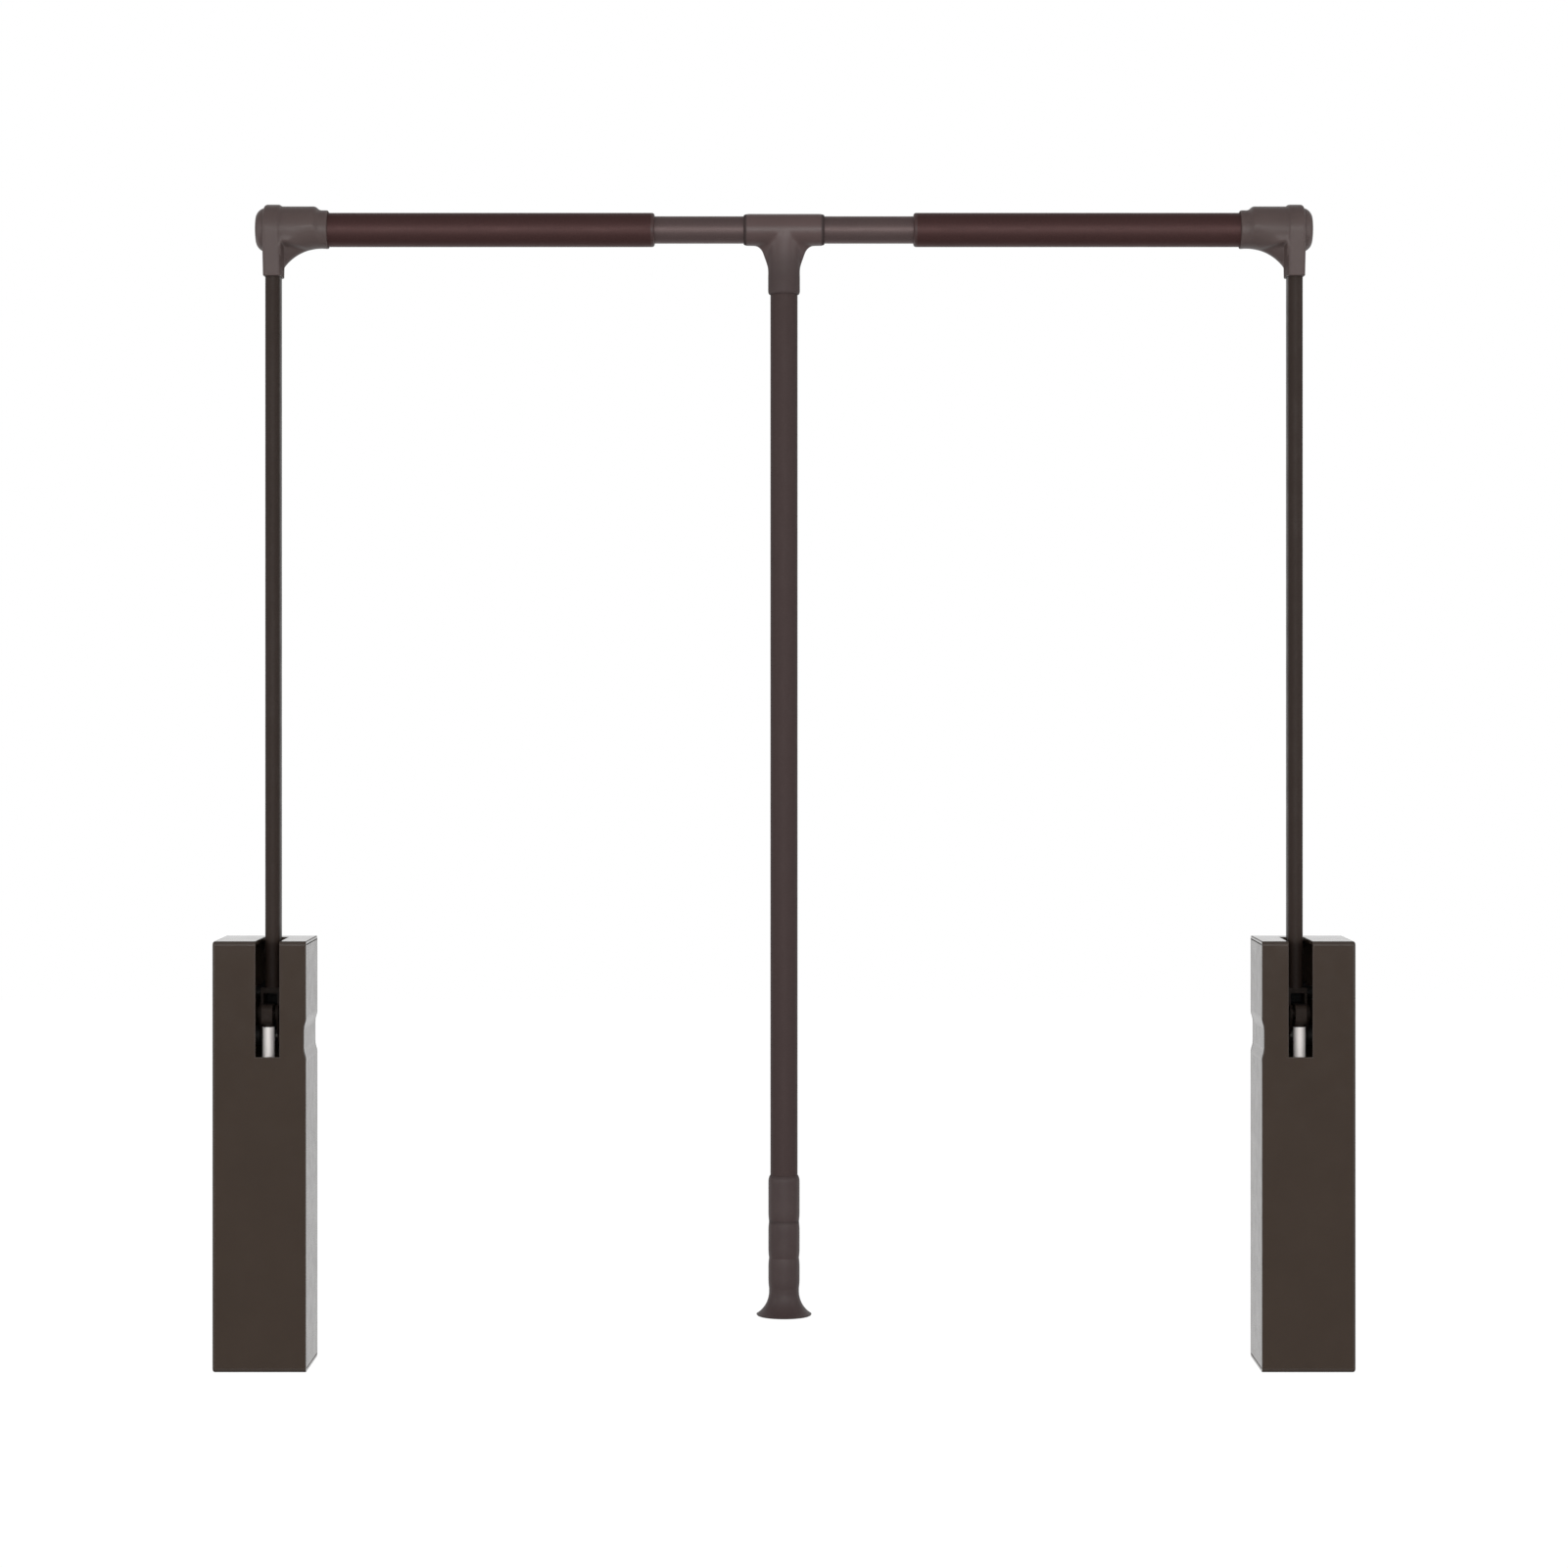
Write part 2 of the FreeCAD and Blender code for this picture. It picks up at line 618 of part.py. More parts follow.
def plates_and_shell():
    fixing_holes = [(y, z, fixing_dia / 2) for y, z in fixings]
    plate("left_mounting_plate", wall_x, plate_thick, fixing_holes)
    driver_holes = [(y, z, access_dia / 2) for y, z in fixings]
    thread_holes = [(y, z, shell_screw_dia / 2 + fit_gap) for y, z in shell_screws]
    plate("left_inner_plate", inner_plate_x, inner_plate_thick, driver_holes + thread_holes)
    housing_shell()
    side_cover()
    between = inner_plate_inset - plate_thick
    bars = []
    for y, z in spacers:
        body = rod("x", (wall_x + plate_thick, y, z), spacer_dia / 2, between)
        tenon = rod("x", (wall_x, y, z), tenon_dia / 2, inner_plate_inset + inner_plate_thick)
        bars.append(fuse(body, tenon))
    node("left_spacers", group(*bars))
    buffer_start = (arm_x - buffer_length / 2, stop_y, stop_z)
    bore = spacer_dia / 2 + fit_gap
    node("left_stop_buffer", ring("x", buffer_start, spacer_dia / 2 + buffer_wall, bore, buffer_length))
    node("left_shell_screws", group(*[shell_screw(y, z) for y, z in shell_screws]))


def shell_screw(y, z):
    head_x = ledge_x + ledge_thick
    shank = rod("x", (inner_plate_x, y, z), shell_screw_dia / 2, head_x - inner_plate_x)
    head = rod("x", (head_x, y, z), shell_screw_head / 2, shell_screw_head_thick)
    slot_x = head_x + shell_screw_head_thick - driver_slot
    slot_corner = (slot_x, y - shell_screw_head / 2, z - driver_slot / 2)
    return cut(fuse(shank, head), block(slot_corner, (driver_slot, shell_screw_head, driver_slot)))


def pin(label, y, z):
    """A pin right through both plates, with a groove for its clip."""
    bar = rod("x", (wall_x, y, z), pin_dia / 2, ledge_x + pin_end - wall_x)
    neck = ring("x", (ledge_x, y, z), pin_dia, pin_dia / 2 - clip_groove, clip_thick + fit_gap)
    node(label, cut(bar, neck))


def pin_clip(y, z):
    """An open spring ring in the pin's groove."""
    start = (ledge_x + fit_gap / 2, y, z)
    bore = pin_dia / 2 - clip_groove + fit_gap
    hoop = ring("x", start, bore + clip_wall, bore, clip_thick)
    mouth_corner = (ledge_x, y - clip_mouth / 2, z - bore - clip_wall)
    return cut(hoop, block(mouth_corner, (clip_thick * 2, clip_mouth, bore + clip_wall)))


def pin_sleeve(y, z, start_x, stop_x):
    bore = pin_dia / 2 + fit_gap
    return ring("x", (start_x, y, z), bore + sleeve_wall, bore, stop_x - start_x)


def pins_and_sleeves():
    pin("left_pivot_axle", *pins["pivot"])
    pin("left_strut_foot_pin", *pins["foot"])
    node("left_pin_clips", group(*[pin_clip(y, z) for y, z in pins.values()]))
    plate_face = wall_x + plate_thick
    reach = {
        "pivot": fork_width / 2 + bush_wall + run_gap,
        "foot": foot_thick / 2 + run_gap,
    }
    sleeves = []
    for name, (y, z) in pins.items():
        sleeves.append(pin_sleeve(y, z, plate_face, strut_x - reach[name]))
        sleeves.append(pin_sleeve(y, z, strut_x + reach[name], inner_plate_x))
    node("left_pin_sleeves", group(*sleeves))


def arm_fork():
    """Fork that straddles the strut's yoke, with its hub, its crank and a tongue for the arm tube."""
    hub = rod("x", (fork_left, 0, pivot_height), hub_radius, fork_width)
    lobe = rod("x", (fork_left, crank_y, crank_z), crank_lobe, fork_width)
    crank = block((0, 0, 0), (fork_width, crank_radius, crank_lobe * 2))
    lean = FreeCAD.Rotation(Vector(1, 0, 0), 180 - crank_angle.value)
    crank.Placement = FreeCAD.Placement(Vector(), lean)
    bind(crank, "Placement.Rotation.Angle", 180 - crank_angle)
    side_y = crank_lobe * sine(crank_angle)
    side_z = crank_lobe * cosine(crank_angle)
    place(crank, (fork_left, side_y, pivot_height + side_z))
    stem_low = (fork_left, -arm_depth / 2, pivot_height + fork_opening - hub_radius)
    stem = block(stem_low, (fork_width, arm_depth, fork_bridge + hub_radius))
    neck = block((fork_left, -hub_radius, pivot_height), (fork_width, hub_radius * 2, fork_reach))
    gap = fork_width - fork_cheek * 2
    gap_low = pivot_height - hub_radius - crank_radius
    gap_corner = (fork_left + fork_cheek, -crank_radius * 2, gap_low)
    gap_high = pivot_height + fork_opening
    opening = block(gap_corner, (gap, crank_radius * 4, gap_high - gap_low))
    bush_bore = rod("x", (fork_left, 0, pivot_height), bush_radius(), fork_width)
    pin_bore = rod("x", (fork_left, crank_y, crank_z), crank_pin_dia / 2 + fit_gap, fork_width)
    fork = cut(fuse(hub, lobe, crank, stem, neck), opening, bush_bore, pin_bore)
    body = new_body("tongue")
    sketch = draw(body, "XY_Plane", across=arm_x, out=tube_start)
    thinner = (arm_wall + fit_gap) * 2
    outline(sketch, flat_oval(arm_width - thinner, arm_depth - thinner))
    pad(body, sketch, tongue_length)
    holes = [rod("x", (fork_left, 0, z), rivet_dia / 2 + fit_gap, fork_width) for z in rivet_heights()]
    node("left_arm_fork", cut(fuse(fork, body), *holes))


def bush_radius():
    return pin_dia / 2 + run_gap + bush_wall + fit_gap


def rivet_heights():
    first = tube_start + rivet_first
    return [first, first + rivet_pitch]


def fork_fittings():
    bore = pin_dia / 2 + run_gap
    flange = bush_radius() + bush_flange
    bushes = []
    for cheek_x, flange_x in ((fork_left, fork_left - bush_wall), (fork_right - fork_cheek, fork_right)):
        wall = rod("x", (cheek_x, 0, pivot_height), bore + bush_wall, fork_cheek)
        rim = rod("x", (flange_x, 0, pivot_height), flange, bush_wall)
        start = (fork_left - bush_wall, 0, pivot_height)
        bushes.append(cut(fuse(wall, rim), rod("x", start, bore, fork_width + bush_wall * 2)))
    node("left_pivot_bushes", group(*bushes))
    bar = rod("x", (fork_left, crank_y, crank_z), crank_pin_dia / 2, fork_width + crank_pin_head)
    head_start = (fork_left - crank_pin_head, crank_y, crank_z)
    head = rod("x", head_start, crank_pin_dia / 2 + crank_pin_head, crank_pin_head)
    node("left_crank_pin", fuse(bar, head))
    tube_left = arm_x - arm_width / 2
    rivets = []
    for z in rivet_heights():
        shank = rod("x", (tube_left, 0, z), rivet_dia / 2, arm_width)
        heads = [
            rod("x", (x, 0, z), rivet_dia / 2 + rivet_head, rivet_head)
            for x in (tube_left - rivet_head, tube_left + arm_width)
        ]
        rivets.append(fuse(shank, *heads))
    node("left_arm_rivets", group(*rivets))


def arm_tube():
    """Flat-oval steel tube from the fork up into the elbow."""
    body = new_body("arm")
    sketch = draw(body, "XY_Plane", across=arm_x, out=tube_start)
    outline(sketch, flat_oval(arm_width, arm_depth))
    outline(sketch, flat_oval(arm_width - arm_wall * 2, arm_depth - arm_wall * 2))
    pad(body, sketch, elbow_bottom + elbow_socket - tube_start)
    holes = [rod("x", (fork_left, 0, z), rivet_dia / 2 + fit_gap, fork_width) for z in rivet_heights()]
    node("left_arm_tube", cut(body, *holes))


def strut():
    """Lifting strut: closed cylinder on its foot pin, gland, piston, chromed rod and slotted yoke."""
    bore = cylinder_dia / 2 - cylinder_wall
    shell = rod("z", (strut_x, strut_y, cylinder_floor), cylinder_dia / 2, cylinder_rim - cylinder_floor)
    hollow = rod("z", (strut_x, strut_y, cylinder_inside), bore, cylinder_rim - cylinder_inside)
    eye_x = strut_x - foot_thick / 2
    eye = rod("x", (eye_x, strut_y, foot_height), foot_eye, foot_thick)
    lug_corner = (eye_x, strut_y - foot_eye, foot_height)
    lug = block(lug_corner, (foot_thick, foot_eye * 2, cylinder_floor - foot_height))
    pin_hole = rod("x", (eye_x, strut_y, foot_height), pin_dia / 2 + run_gap, foot_thick)
    node("left_strut_cylinder", cut(fuse(shell, eye, lug), hollow, pin_hole))

    plug = rod("z", (strut_x, strut_y, cylinder_rim - gland_plug), bore - fit_gap, gland_plug)
    flange = rod("z", (strut_x, strut_y, cylinder_rim), cylinder_dia / 2, gland_flange)
    passage_start = (strut_x, strut_y, cylinder_rim - gland_plug)
    passage = rod("z", passage_start, strut_rod_dia / 2 + run_gap, gland_plug + gland_flange)
    node("left_strut_gland", cut(fuse(plug, flange), passage))

    shaft_foot = rod_foot + piston_thick
    shaft = rod("z", (strut_x, strut_y, shaft_foot), strut_rod_dia / 2, rod_top - shaft_foot)
    stud_length = yoke_neck + yoke_wall - fit_gap
    stud = rod("z", (strut_x, strut_y, rod_top), stud_dia / 2, stud_length)
    tail = rod("z", (strut_x, strut_y, rod_foot), piston_bore / 2, piston_thick)
    node("left_strut_rod", fuse(shaft, stud, tail))
    piston_start = (strut_x, strut_y, rod_foot)
    piston = ring("z", piston_start, bore - run_gap, piston_bore / 2 + fit_gap, piston_thick)
    node("left_strut_piston", piston)
    yoke(stud_length)


def yoke(stud_length):
    """Slotted head of the strut: the crank pin runs to and fro in its slot as the arm swings."""
    body = new_body("yoke")
    frame = draw(body, "YZ_Plane", up=crank_z, across=strut_y, out=strut_x - yoke_thick / 2)
    reach = crank_shift + crank_pin_dia / 2 + yoke_end_play
    high = yoke_slot_half + yoke_wall
    outline(frame, rounded_rectangle(-reach - yoke_wall, -high, reach + yoke_wall, high, yoke_slot_half))
    straight = reach - yoke_slot_half
    outline(
        frame,
        [
            (straight, -yoke_slot_half),
            (reach, 0, yoke_slot_half, 1),
            (straight, yoke_slot_half, yoke_slot_half, 1),
            (-straight, yoke_slot_half),
            (-reach, 0, yoke_slot_half, 1),
            (-straight, -yoke_slot_half, yoke_slot_half, 1),
        ],
    )
    pad(body, frame, yoke_thick)
    rooted = yoke_wall / 2
    neck = rod("z", (strut_x, strut_y, rod_top), yoke_thick / 2, yoke_neck + rooted)
    thread = rod("z", (strut_x, strut_y, rod_top), stud_dia / 2 + fit_gap, stud_length + fit_gap)
    node("left_strut_yoke", cut(fuse(body, neck), thread))


def elbow():
    """Moulded corner: a column on the arm with a round head, and a barrel with a saddle to the column."""
    column_left = arm_x - elbow_width / 2
    column_right = arm_x + elbow_width / 2
    column_body = new_body("column")
    side = draw(column_body, "YZ_Plane", up=rail_height, out=column_left)
    leg = elbow_leg / 2
    flank = other_leg(elbow_drop, other_leg(elbow_head, leg))
    corner = leg * leg + elbow_drop * elbow_drop
    touch_out = elbow_head * (elbow_head * leg + flank * elbow_drop) / corner
    touch_up = elbow_head * (flank * leg - elbow_head * elbow_drop) / corner
    outline(
        side,
        [
            (-leg, -elbow_drop),
            (leg, -elbow_drop),
            (touch_out, touch_up),
            (0, elbow_head, elbow_head, 1),
            (-touch_out, touch_up, elbow_head, 1),
        ],
    )
    column = pad(column_body, side, elbow_width)
    doc.recompute()
    ends = [face for face in column.Shape.Faces if face.BoundBox.XLength < fit_gap.value]
    foot = elbow_bottom.value + fit_gap.value
    rims = [edge for face in ends for edge in face.Edges if edge.BoundBox.ZMax > foot]
    round_edges(column_body, column, elbow_round, rims)
    barrel_body = new_body("barrel")
    barrel = draw(barrel_body, "XZ_Plane", up=rail_height)
    barrel_end = arm_x + barrel_reach
    shoulder_end = barrel_end + shoulder_run
    tip = arm_x + collar_reach
    tip_round = collar_radius - collar_tip
    step = (barrel_radius - collar_radius) / 2
    ease = bulge(shoulder_run, step)
    outline(
        barrel,
        [
            (arm_x, 0),
            (tip, 0),
            (tip, collar_tip),
            (tip - tip_round, collar_radius, tip_round, 1),
            (shoulder_end, collar_radius),
            (barrel_end + shoulder_run / 2, collar_radius + step, ease, -1),
            (barrel_end, barrel_radius, ease, 1),
            (arm_x, barrel_radius),
        ],
    )
    turn_round(barrel_body, barrel, "H_Axis")
    hollow_drop = web_tip + web_round
    web_low = other_leg(web_round, shoulder_end - column_right) - hollow_drop
    web = draw(barrel_body, "XZ_Plane", out=-web_thick / 2, up=rail_height)
    outline(web, rectangle(column_right - elbow_round, web_low, barrel_end, 0))
    pad(barrel_body, web, web_thick)
    bend = web_round + barrel_radius
    spool = [
        (-barrel_radius, 0),
        (barrel_radius, 0),
        (barrel_radius, bend),
        (0, web_round, barrel_radius, -1),
        (-barrel_radius, bend, barrel_radius, -1),
    ]
    hollow = turned(spool, "YZ_Plane", "H_Axis", up=rail_height - hollow_drop, out=shoulder_end)
    socket = new_body("socket")
    mouth_of_socket = draw(socket, "XY_Plane", across=arm_x, out=elbow_bottom)
    outline(mouth_of_socket, flat_oval(arm_width + fit_gap * 2, arm_depth + fit_gap * 2))
    pad(socket, mouth_of_socket, elbow_socket + fit_gap)
    bore = rod("x", (column_right, 0, rail_height), outer_tube_dia / 2 + fit_gap, collar_reach)
    stem = rod("x", (column_left, 0, rail_height), cap_stem + fit_gap, cap_stem_length + fit_gap)
    holes = [
        rod("y", (across, 0, up), grub_dia / 2 + fit_gap, reach + elbow_head)
        for across, up, reach in grub_places()
    ]
    node("left_elbow", cut(fuse(column_body, cut(barrel_body, hollow)), socket, bore, stem, *holes))


def grub_places():
    """Grub screws on the elbow's back: across, up, and the surface that the tip rests on."""
    return [
        (arm_x, elbow_bottom + arm_grub_rise, arm_depth / 2),
        (arm_x + tube_grub_inset, rail_height, outer_tube_dia / 2),
    ]


def grub(across, up, seat, face):
    """A short threaded pin with a key socket, from its seat out to the face of the piece."""
    bar = rod("y", (across, seat, up), grub_dia / 2, face - seat)
    corner = (across - grub_socket / 2, face - grub_socket_depth, up - grub_socket / 2)
    return cut(bar, block(corner, (grub_socket, grub_socket_depth, grub_socket)))


def elbow_fittings():
    cap_x = arm_x - elbow_width / 2
    outer_x = cap_x - cap_thick
    cap = [
        (cap_x + cap_stem_length, 0),
        (cap_x + cap_stem_length, cap_stem),
        (cap_x, cap_stem),
        (cap_x, cap_radius),
        (outer_x, cap_flat, cap_round, 1),
        (outer_x, 0),
    ]
    node("left_elbow_cap", turned(cap, "XZ_Plane", "H_Axis", up=rail_height))
    arm_spot, tube_spot = grub_places()
    screws = [
        grub(*arm_spot, elbow_leg / 2),
        grub(*tube_spot, barrel_radius - fit_gap),
    ]
    node("left_elbow_screws", group(*screws))


def outer_tube():
    """Outer tube of the rail, and the bush in its mouth that the inner tube slides in."""
    end = -mouth - mouth_lip
    bore = outer_tube_dia / 2 - outer_tube_wall
    start = (outer_tube_start, 0, rail_height)
    node("left_outer_tube", ring("x", start, outer_tube_dia / 2, bore, end - outer_tube_start))
    inner = inner_rail_dia / 2 + run_gap
    lip = outer_tube_dia / 2
    bush = [
        (end - mouth_sleeve, inner),
        (-mouth, inner),
        (-mouth, lip - mouth_round),
        (-mouth - mouth_round, lip, mouth_round, 1),
        (end, lip),
        (end, bore - fit_gap),
        (end - mouth_sleeve, bore - fit_gap),
    ]
    node("left_mouth_bush", turned(bush, "XZ_Plane", "H_Axis", up=rail_height))


def inner_rail():
    """Inner tube of the rail, with a flanged bush on each end that runs in the outer tube."""
    start = (-inner_rail_half, 0, rail_height)
    bore = inner_rail_dia / 2 - inner_rail_wall
    node("inner_rail", ring("x", start, inner_rail_dia / 2, bore, inner_rail_half * 2))
    flange = outer_tube_dia / 2 - outer_tube_wall - run_gap
    left_disc = -inner_rail_half - end_flange - run_gap
    right_disc = inner_rail_half + run_gap
    ends = []
    for disc_x, plug_x in ((left_disc, left_disc), (right_disc, inner_rail_half - end_plug)):
        disc = rod("x", (disc_x, 0, rail_height), flange, end_flange)
        plug_length = end_flange + run_gap + end_plug
        plug = rod("x", (plug_x, 0, rail_height), bore - run_gap, plug_length)
        ends.append(fuse(disc, plug))
    node("rail_end_bushes", group(*ends))


def tee_fitting():
    """Tee on the inner rail: a sleeve, a leg for the pull tube and hollow webs between them."""
    body = new_body("tee")
    leg = draw(body, "XZ_Plane", up=rail_height)
    leg_tip = pull_dia / 2 + fit_gap + tee_lip
    leg_side = tee_leg_dia / 2
    leg_ease = bulge(tee_leg_taper * 2, leg_side - leg_tip)
    outline(
        leg,
        [
            (0, -tee_drop),
            (leg_tip, -tee_drop),
            (leg_side, tee_leg_taper - tee_drop, leg_ease, 1),
            (leg_side, 0),
            (0, 0),
        ],
    )
    turn_round(body, leg, "V_Axis")
    sleeve = draw(body, "XZ_Plane", up=rail_height)
    half = tee_length / 2
    sleeve_tip = inner_rail_dia / 2 + fit_gap + tee_lip
    sleeve_ease = bulge(tee_taper * 2, tee_dia / 2 - sleeve_tip)
    outline(
        sleeve,
        [
            (-half, 0),
            (half, 0),
            (half, sleeve_tip),
            (half - tee_taper, tee_dia / 2, sleeve_ease, 1),
            (tee_taper - half, tee_dia / 2),
            (-half, sleeve_tip, sleeve_ease, 1),
        ],
    )
    turn_round(body, sleeve, "H_Axis")
    web = draw(body, "XZ_Plane", up=rail_height)
    foot = leg_side - fit_gap
    top = tee_dia / 2 - fit_gap
    bend_x = tee_web_reach - tee_web_round * cosine(tee_web_lean)
    bend_drop = top + tee_web_round * (1 - sine(tee_web_lean))
    low = bend_drop + (bend_x - foot) * cosine(tee_web_lean) / sine(tee_web_lean)
    outline(
        web,
        [
            (foot, -low),
            (bend_x, -bend_drop),
            (tee_web_reach, -top, tee_web_round, -1),
            (tee_web_reach, tee_web_rise),
            (-tee_web_reach, tee_web_rise),
            (-tee_web_reach, -top),
            (-bend_x, -bend_drop, tee_web_round, -1),
            (-foot, -low),
        ],
    )
    for backwards in (False, True):
        half_web = pad(body, web, tee_web_thick / 2, backwards=backwards)
        bind(half_web, "TaperAngle", -tee_web_draft)
    passage = draw(body, "YZ_Plane", up=rail_height, out=half)
    circle(passage, 0, 0, inner_rail_dia / 2 + fit_gap)
    pad(body, passage, tee_length, "Pocket")
    socket = draw(body, "XY_Plane", out=rail_height - tee_drop)
    circle(socket, 0, 0, pull_dia / 2 + fit_gap)
    pad(body, socket, pull_seat, "Pocket", backwards=True)
    for across, up, seat in tee_grubs():
        hole = draw(body, "XZ_Plane", across=across, up=up)
        circle(hole, 0, 0, grub_dia / 2 + fit_gap)
        pad(body, hole, seat + tee_dia, "Pocket")
    node("tee_fitting", body)


def tee_grubs():
    return [
        (0, rail_height - tee_drop + tee_grub_rise, pull_dia / 2),
        (rail_grub_offset, rail_height, inner_rail_dia / 2),
    ]


def pull_rod():
    """Pull tube under the tee, with a collar and a flared grip at its lower end."""
    top = rail_height - tee_drop + pull_seat - fit_gap
    node("pull_tube", ring("z", (0, 0, pull_foot), pull_dia / 2, pull_dia / 2 - pull_wall, top - pull_foot))
    bore = pull_dia / 2 + fit_gap
    seam_top = grip_seam + fit_gap
    swell = grip_radius - grip_waist
    ease = bulge(grip_ease * 2, swell)
    collar = [
        (bore, seam_top),
        (grip_waist, seam_top),
        (grip_radius, seam_top + grip_ease, ease, 1),
        (grip_radius, collar_top - collar_taper),
        (collar_lip, collar_top, bulge(collar_taper * 2, grip_radius - collar_lip), 1),
        (bore, collar_top),
    ]
    collar_body = turned(collar, "XZ_Plane", "V_Axis")
    grub_height = grip_seam + collar_grub_rise
    hole = rod("y", (0, 0, grub_height), grub_dia / 2 + fit_gap, grip_radius * 2)
    node("handle_collar", cut(collar_body, hole))
    faces = [tee_leg_dia / 2, tee_dia / 2]
    screws = [grub(*spot, face) for spot, face in zip(tee_grubs(), faces)]
    screws.append(grub(0, grub_height, pull_dia / 2, grip_radius - swell / 4))
    node("pull_screws", group(*screws))
    rim_top = handle_bottom + rim_thick
    spread = flare_radius - grip_waist
    flare_round = (flare_rise * flare_rise / spread + spread) / 2
    grip = [
        (0, pull_foot - fit_gap),
        (0, handle_bottom + cup_depth),
        (cup_radius - cup_depth, handle_bottom + cup_depth),
        (cup_radius, handle_bottom, cup_depth, -1),
        (flare_radius - rim_thick, handle_bottom),
        (flare_radius, rim_top, rim_thick, 1),
        (grip_waist, rim_top + flare_rise, flare_round, -1),
        (grip_waist, grip_second_waist),
        (grip_radius, grip_second_waist + grip_ease, ease, 1),
        (grip_radius, grip_first_waist - grip_ease),
        (grip_waist, grip_first_waist, ease, 1),
        (grip_radius, grip_first_waist + grip_ease, ease, 1),
        (grip_radius, grip_seam - grip_ease),
        (grip_waist, grip_seam, ease, 1),
        (bore, grip_seam),
        (bore, pull_foot - fit_gap),
    ]
    node("handle_grip", turned(grip, "XZ_Plane", "V_Axis"))


plates_and_shell()
pins_and_sleeves()
arm_fork()
fork_fittings()
arm_tube()
strut()
elbow()
elbow_fittings()
outer_tube()
for left in list(nodes):
    right = doc.addObject("Part::Mirroring", "mirror_image")
    right.Source = left
    right.Normal = Vector(1, 0, 0)
    node(left.Label.replace("left_", "right_"), right)
inner_rail()
tee_fitting()
pull_rod()
doc.recompute()

failed = [item.Label for item in doc.Objects if "Invalid" in item.State or "Error" in item.State]
failed += [item.Label for item in nodes if item.Shape.isNull() or not item.Shape.isValid()]
if failed:
    raise RuntimeError(f"not built: {failed}")
for item in nodes:
    item.Shape.exportStep(f"parts/{item.Label}.step")
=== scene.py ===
import math

import bmesh
import bpy
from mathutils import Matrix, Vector


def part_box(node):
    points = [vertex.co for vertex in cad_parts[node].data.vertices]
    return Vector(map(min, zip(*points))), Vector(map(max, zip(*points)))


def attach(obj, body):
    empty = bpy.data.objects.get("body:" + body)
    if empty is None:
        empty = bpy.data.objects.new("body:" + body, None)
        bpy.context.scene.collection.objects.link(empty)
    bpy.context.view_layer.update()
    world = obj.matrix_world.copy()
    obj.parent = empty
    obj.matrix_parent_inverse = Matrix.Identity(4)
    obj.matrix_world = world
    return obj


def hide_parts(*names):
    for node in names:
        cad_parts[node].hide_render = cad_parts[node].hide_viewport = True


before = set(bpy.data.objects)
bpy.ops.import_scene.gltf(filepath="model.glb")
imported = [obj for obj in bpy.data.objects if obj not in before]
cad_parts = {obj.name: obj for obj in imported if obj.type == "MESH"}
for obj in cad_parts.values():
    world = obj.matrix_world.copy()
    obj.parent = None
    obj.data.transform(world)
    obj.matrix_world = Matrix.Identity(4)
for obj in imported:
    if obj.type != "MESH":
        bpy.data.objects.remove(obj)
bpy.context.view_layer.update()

bpy.ops.object.select_all(action="DESELECT")


# Wall plates, inner plates and spacers of the two housings. They are stamped from sheet steel, riveted
# together over the spacers and dipped in black, and the wall plate takes the four screws of the lift.
sides = ("left", "right")
noise_low = 0.3
noise_high = 0.7


def new_finish(name):
    """A material with its node tree and its shader."""
    finish = bpy.data.materials.new(name)
    finish.use_nodes = True
    return finish, finish.node_tree, finish.node_tree.nodes["Principled BSDF"]


def grain(tree, per_metre, detail=3.0, stretch=(1, 1, 1)):
    """Noise in the piece's own space, so many grains to the metre, stretched along the axes."""
    place = tree.nodes.new("ShaderNodeTexCoord")
    fit = tree.nodes.new("ShaderNodeMapping")
    fit.inputs["Scale"].default_value = stretch
    tree.links.new(place.outputs["Object"], fit.inputs["Vector"])
    speckle = tree.nodes.new("ShaderNodeTexNoise")
    speckle.inputs["Scale"].default_value = per_metre
    speckle.inputs["Detail"].default_value = detail
    tree.links.new(fit.outputs["Vector"], speckle.inputs["Vector"])
    return speckle.outputs["Fac"]


def tones(tree, shader, pattern, dark, light, low=0.35, high=0.65):
    """Colour that drifts between two tones with a pattern."""
    ramp = tree.nodes.new("ShaderNodeValToRGB")
    ramp.color_ramp.elements[0].position = low
    ramp.color_ramp.elements[0].color = (*dark, 1)
    ramp.color_ramp.elements[1].position = high
    ramp.color_ramp.elements[1].color = (*light, 1)
    tree.links.new(pattern, ramp.inputs["Fac"])
    tree.links.new(ramp.outputs["Color"], shader.inputs["Base Color"])


def gloss(tree, shader, pattern, smoothest, roughest):
    """Roughness that drifts between two values with a pattern."""
    spread = tree.nodes.new("ShaderNodeMapRange")
    spread.inputs["From Min"].default_value = noise_low
    spread.inputs["From Max"].default_value = noise_high
    spread.inputs["To Min"].default_value = smoothest
    spread.inputs["To Max"].default_value = roughest
    tree.links.new(pattern, spread.inputs["Value"])
    tree.links.new(spread.outputs["Result"], shader.inputs["Roughness"])


def relief(tree, shader, pattern, depth, strength):
    """Fine relief from a pattern, its depth in metres."""
    bump = tree.nodes.new("ShaderNodeBump")
    bump.inputs["Distance"].default_value = depth
    bump.inputs["Strength"].default_value = strength
    tree.links.new(pattern, bump.inputs["Height"])
    tree.links.new(bump.outputs["Normal"], shader.inputs["Normal"])


def dress(finish, *names):
    """Put a finish on CAD nodes."""
    for name in names:
        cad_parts[name].data.materials.clear()
        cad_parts[name].data.materials.append(finish)


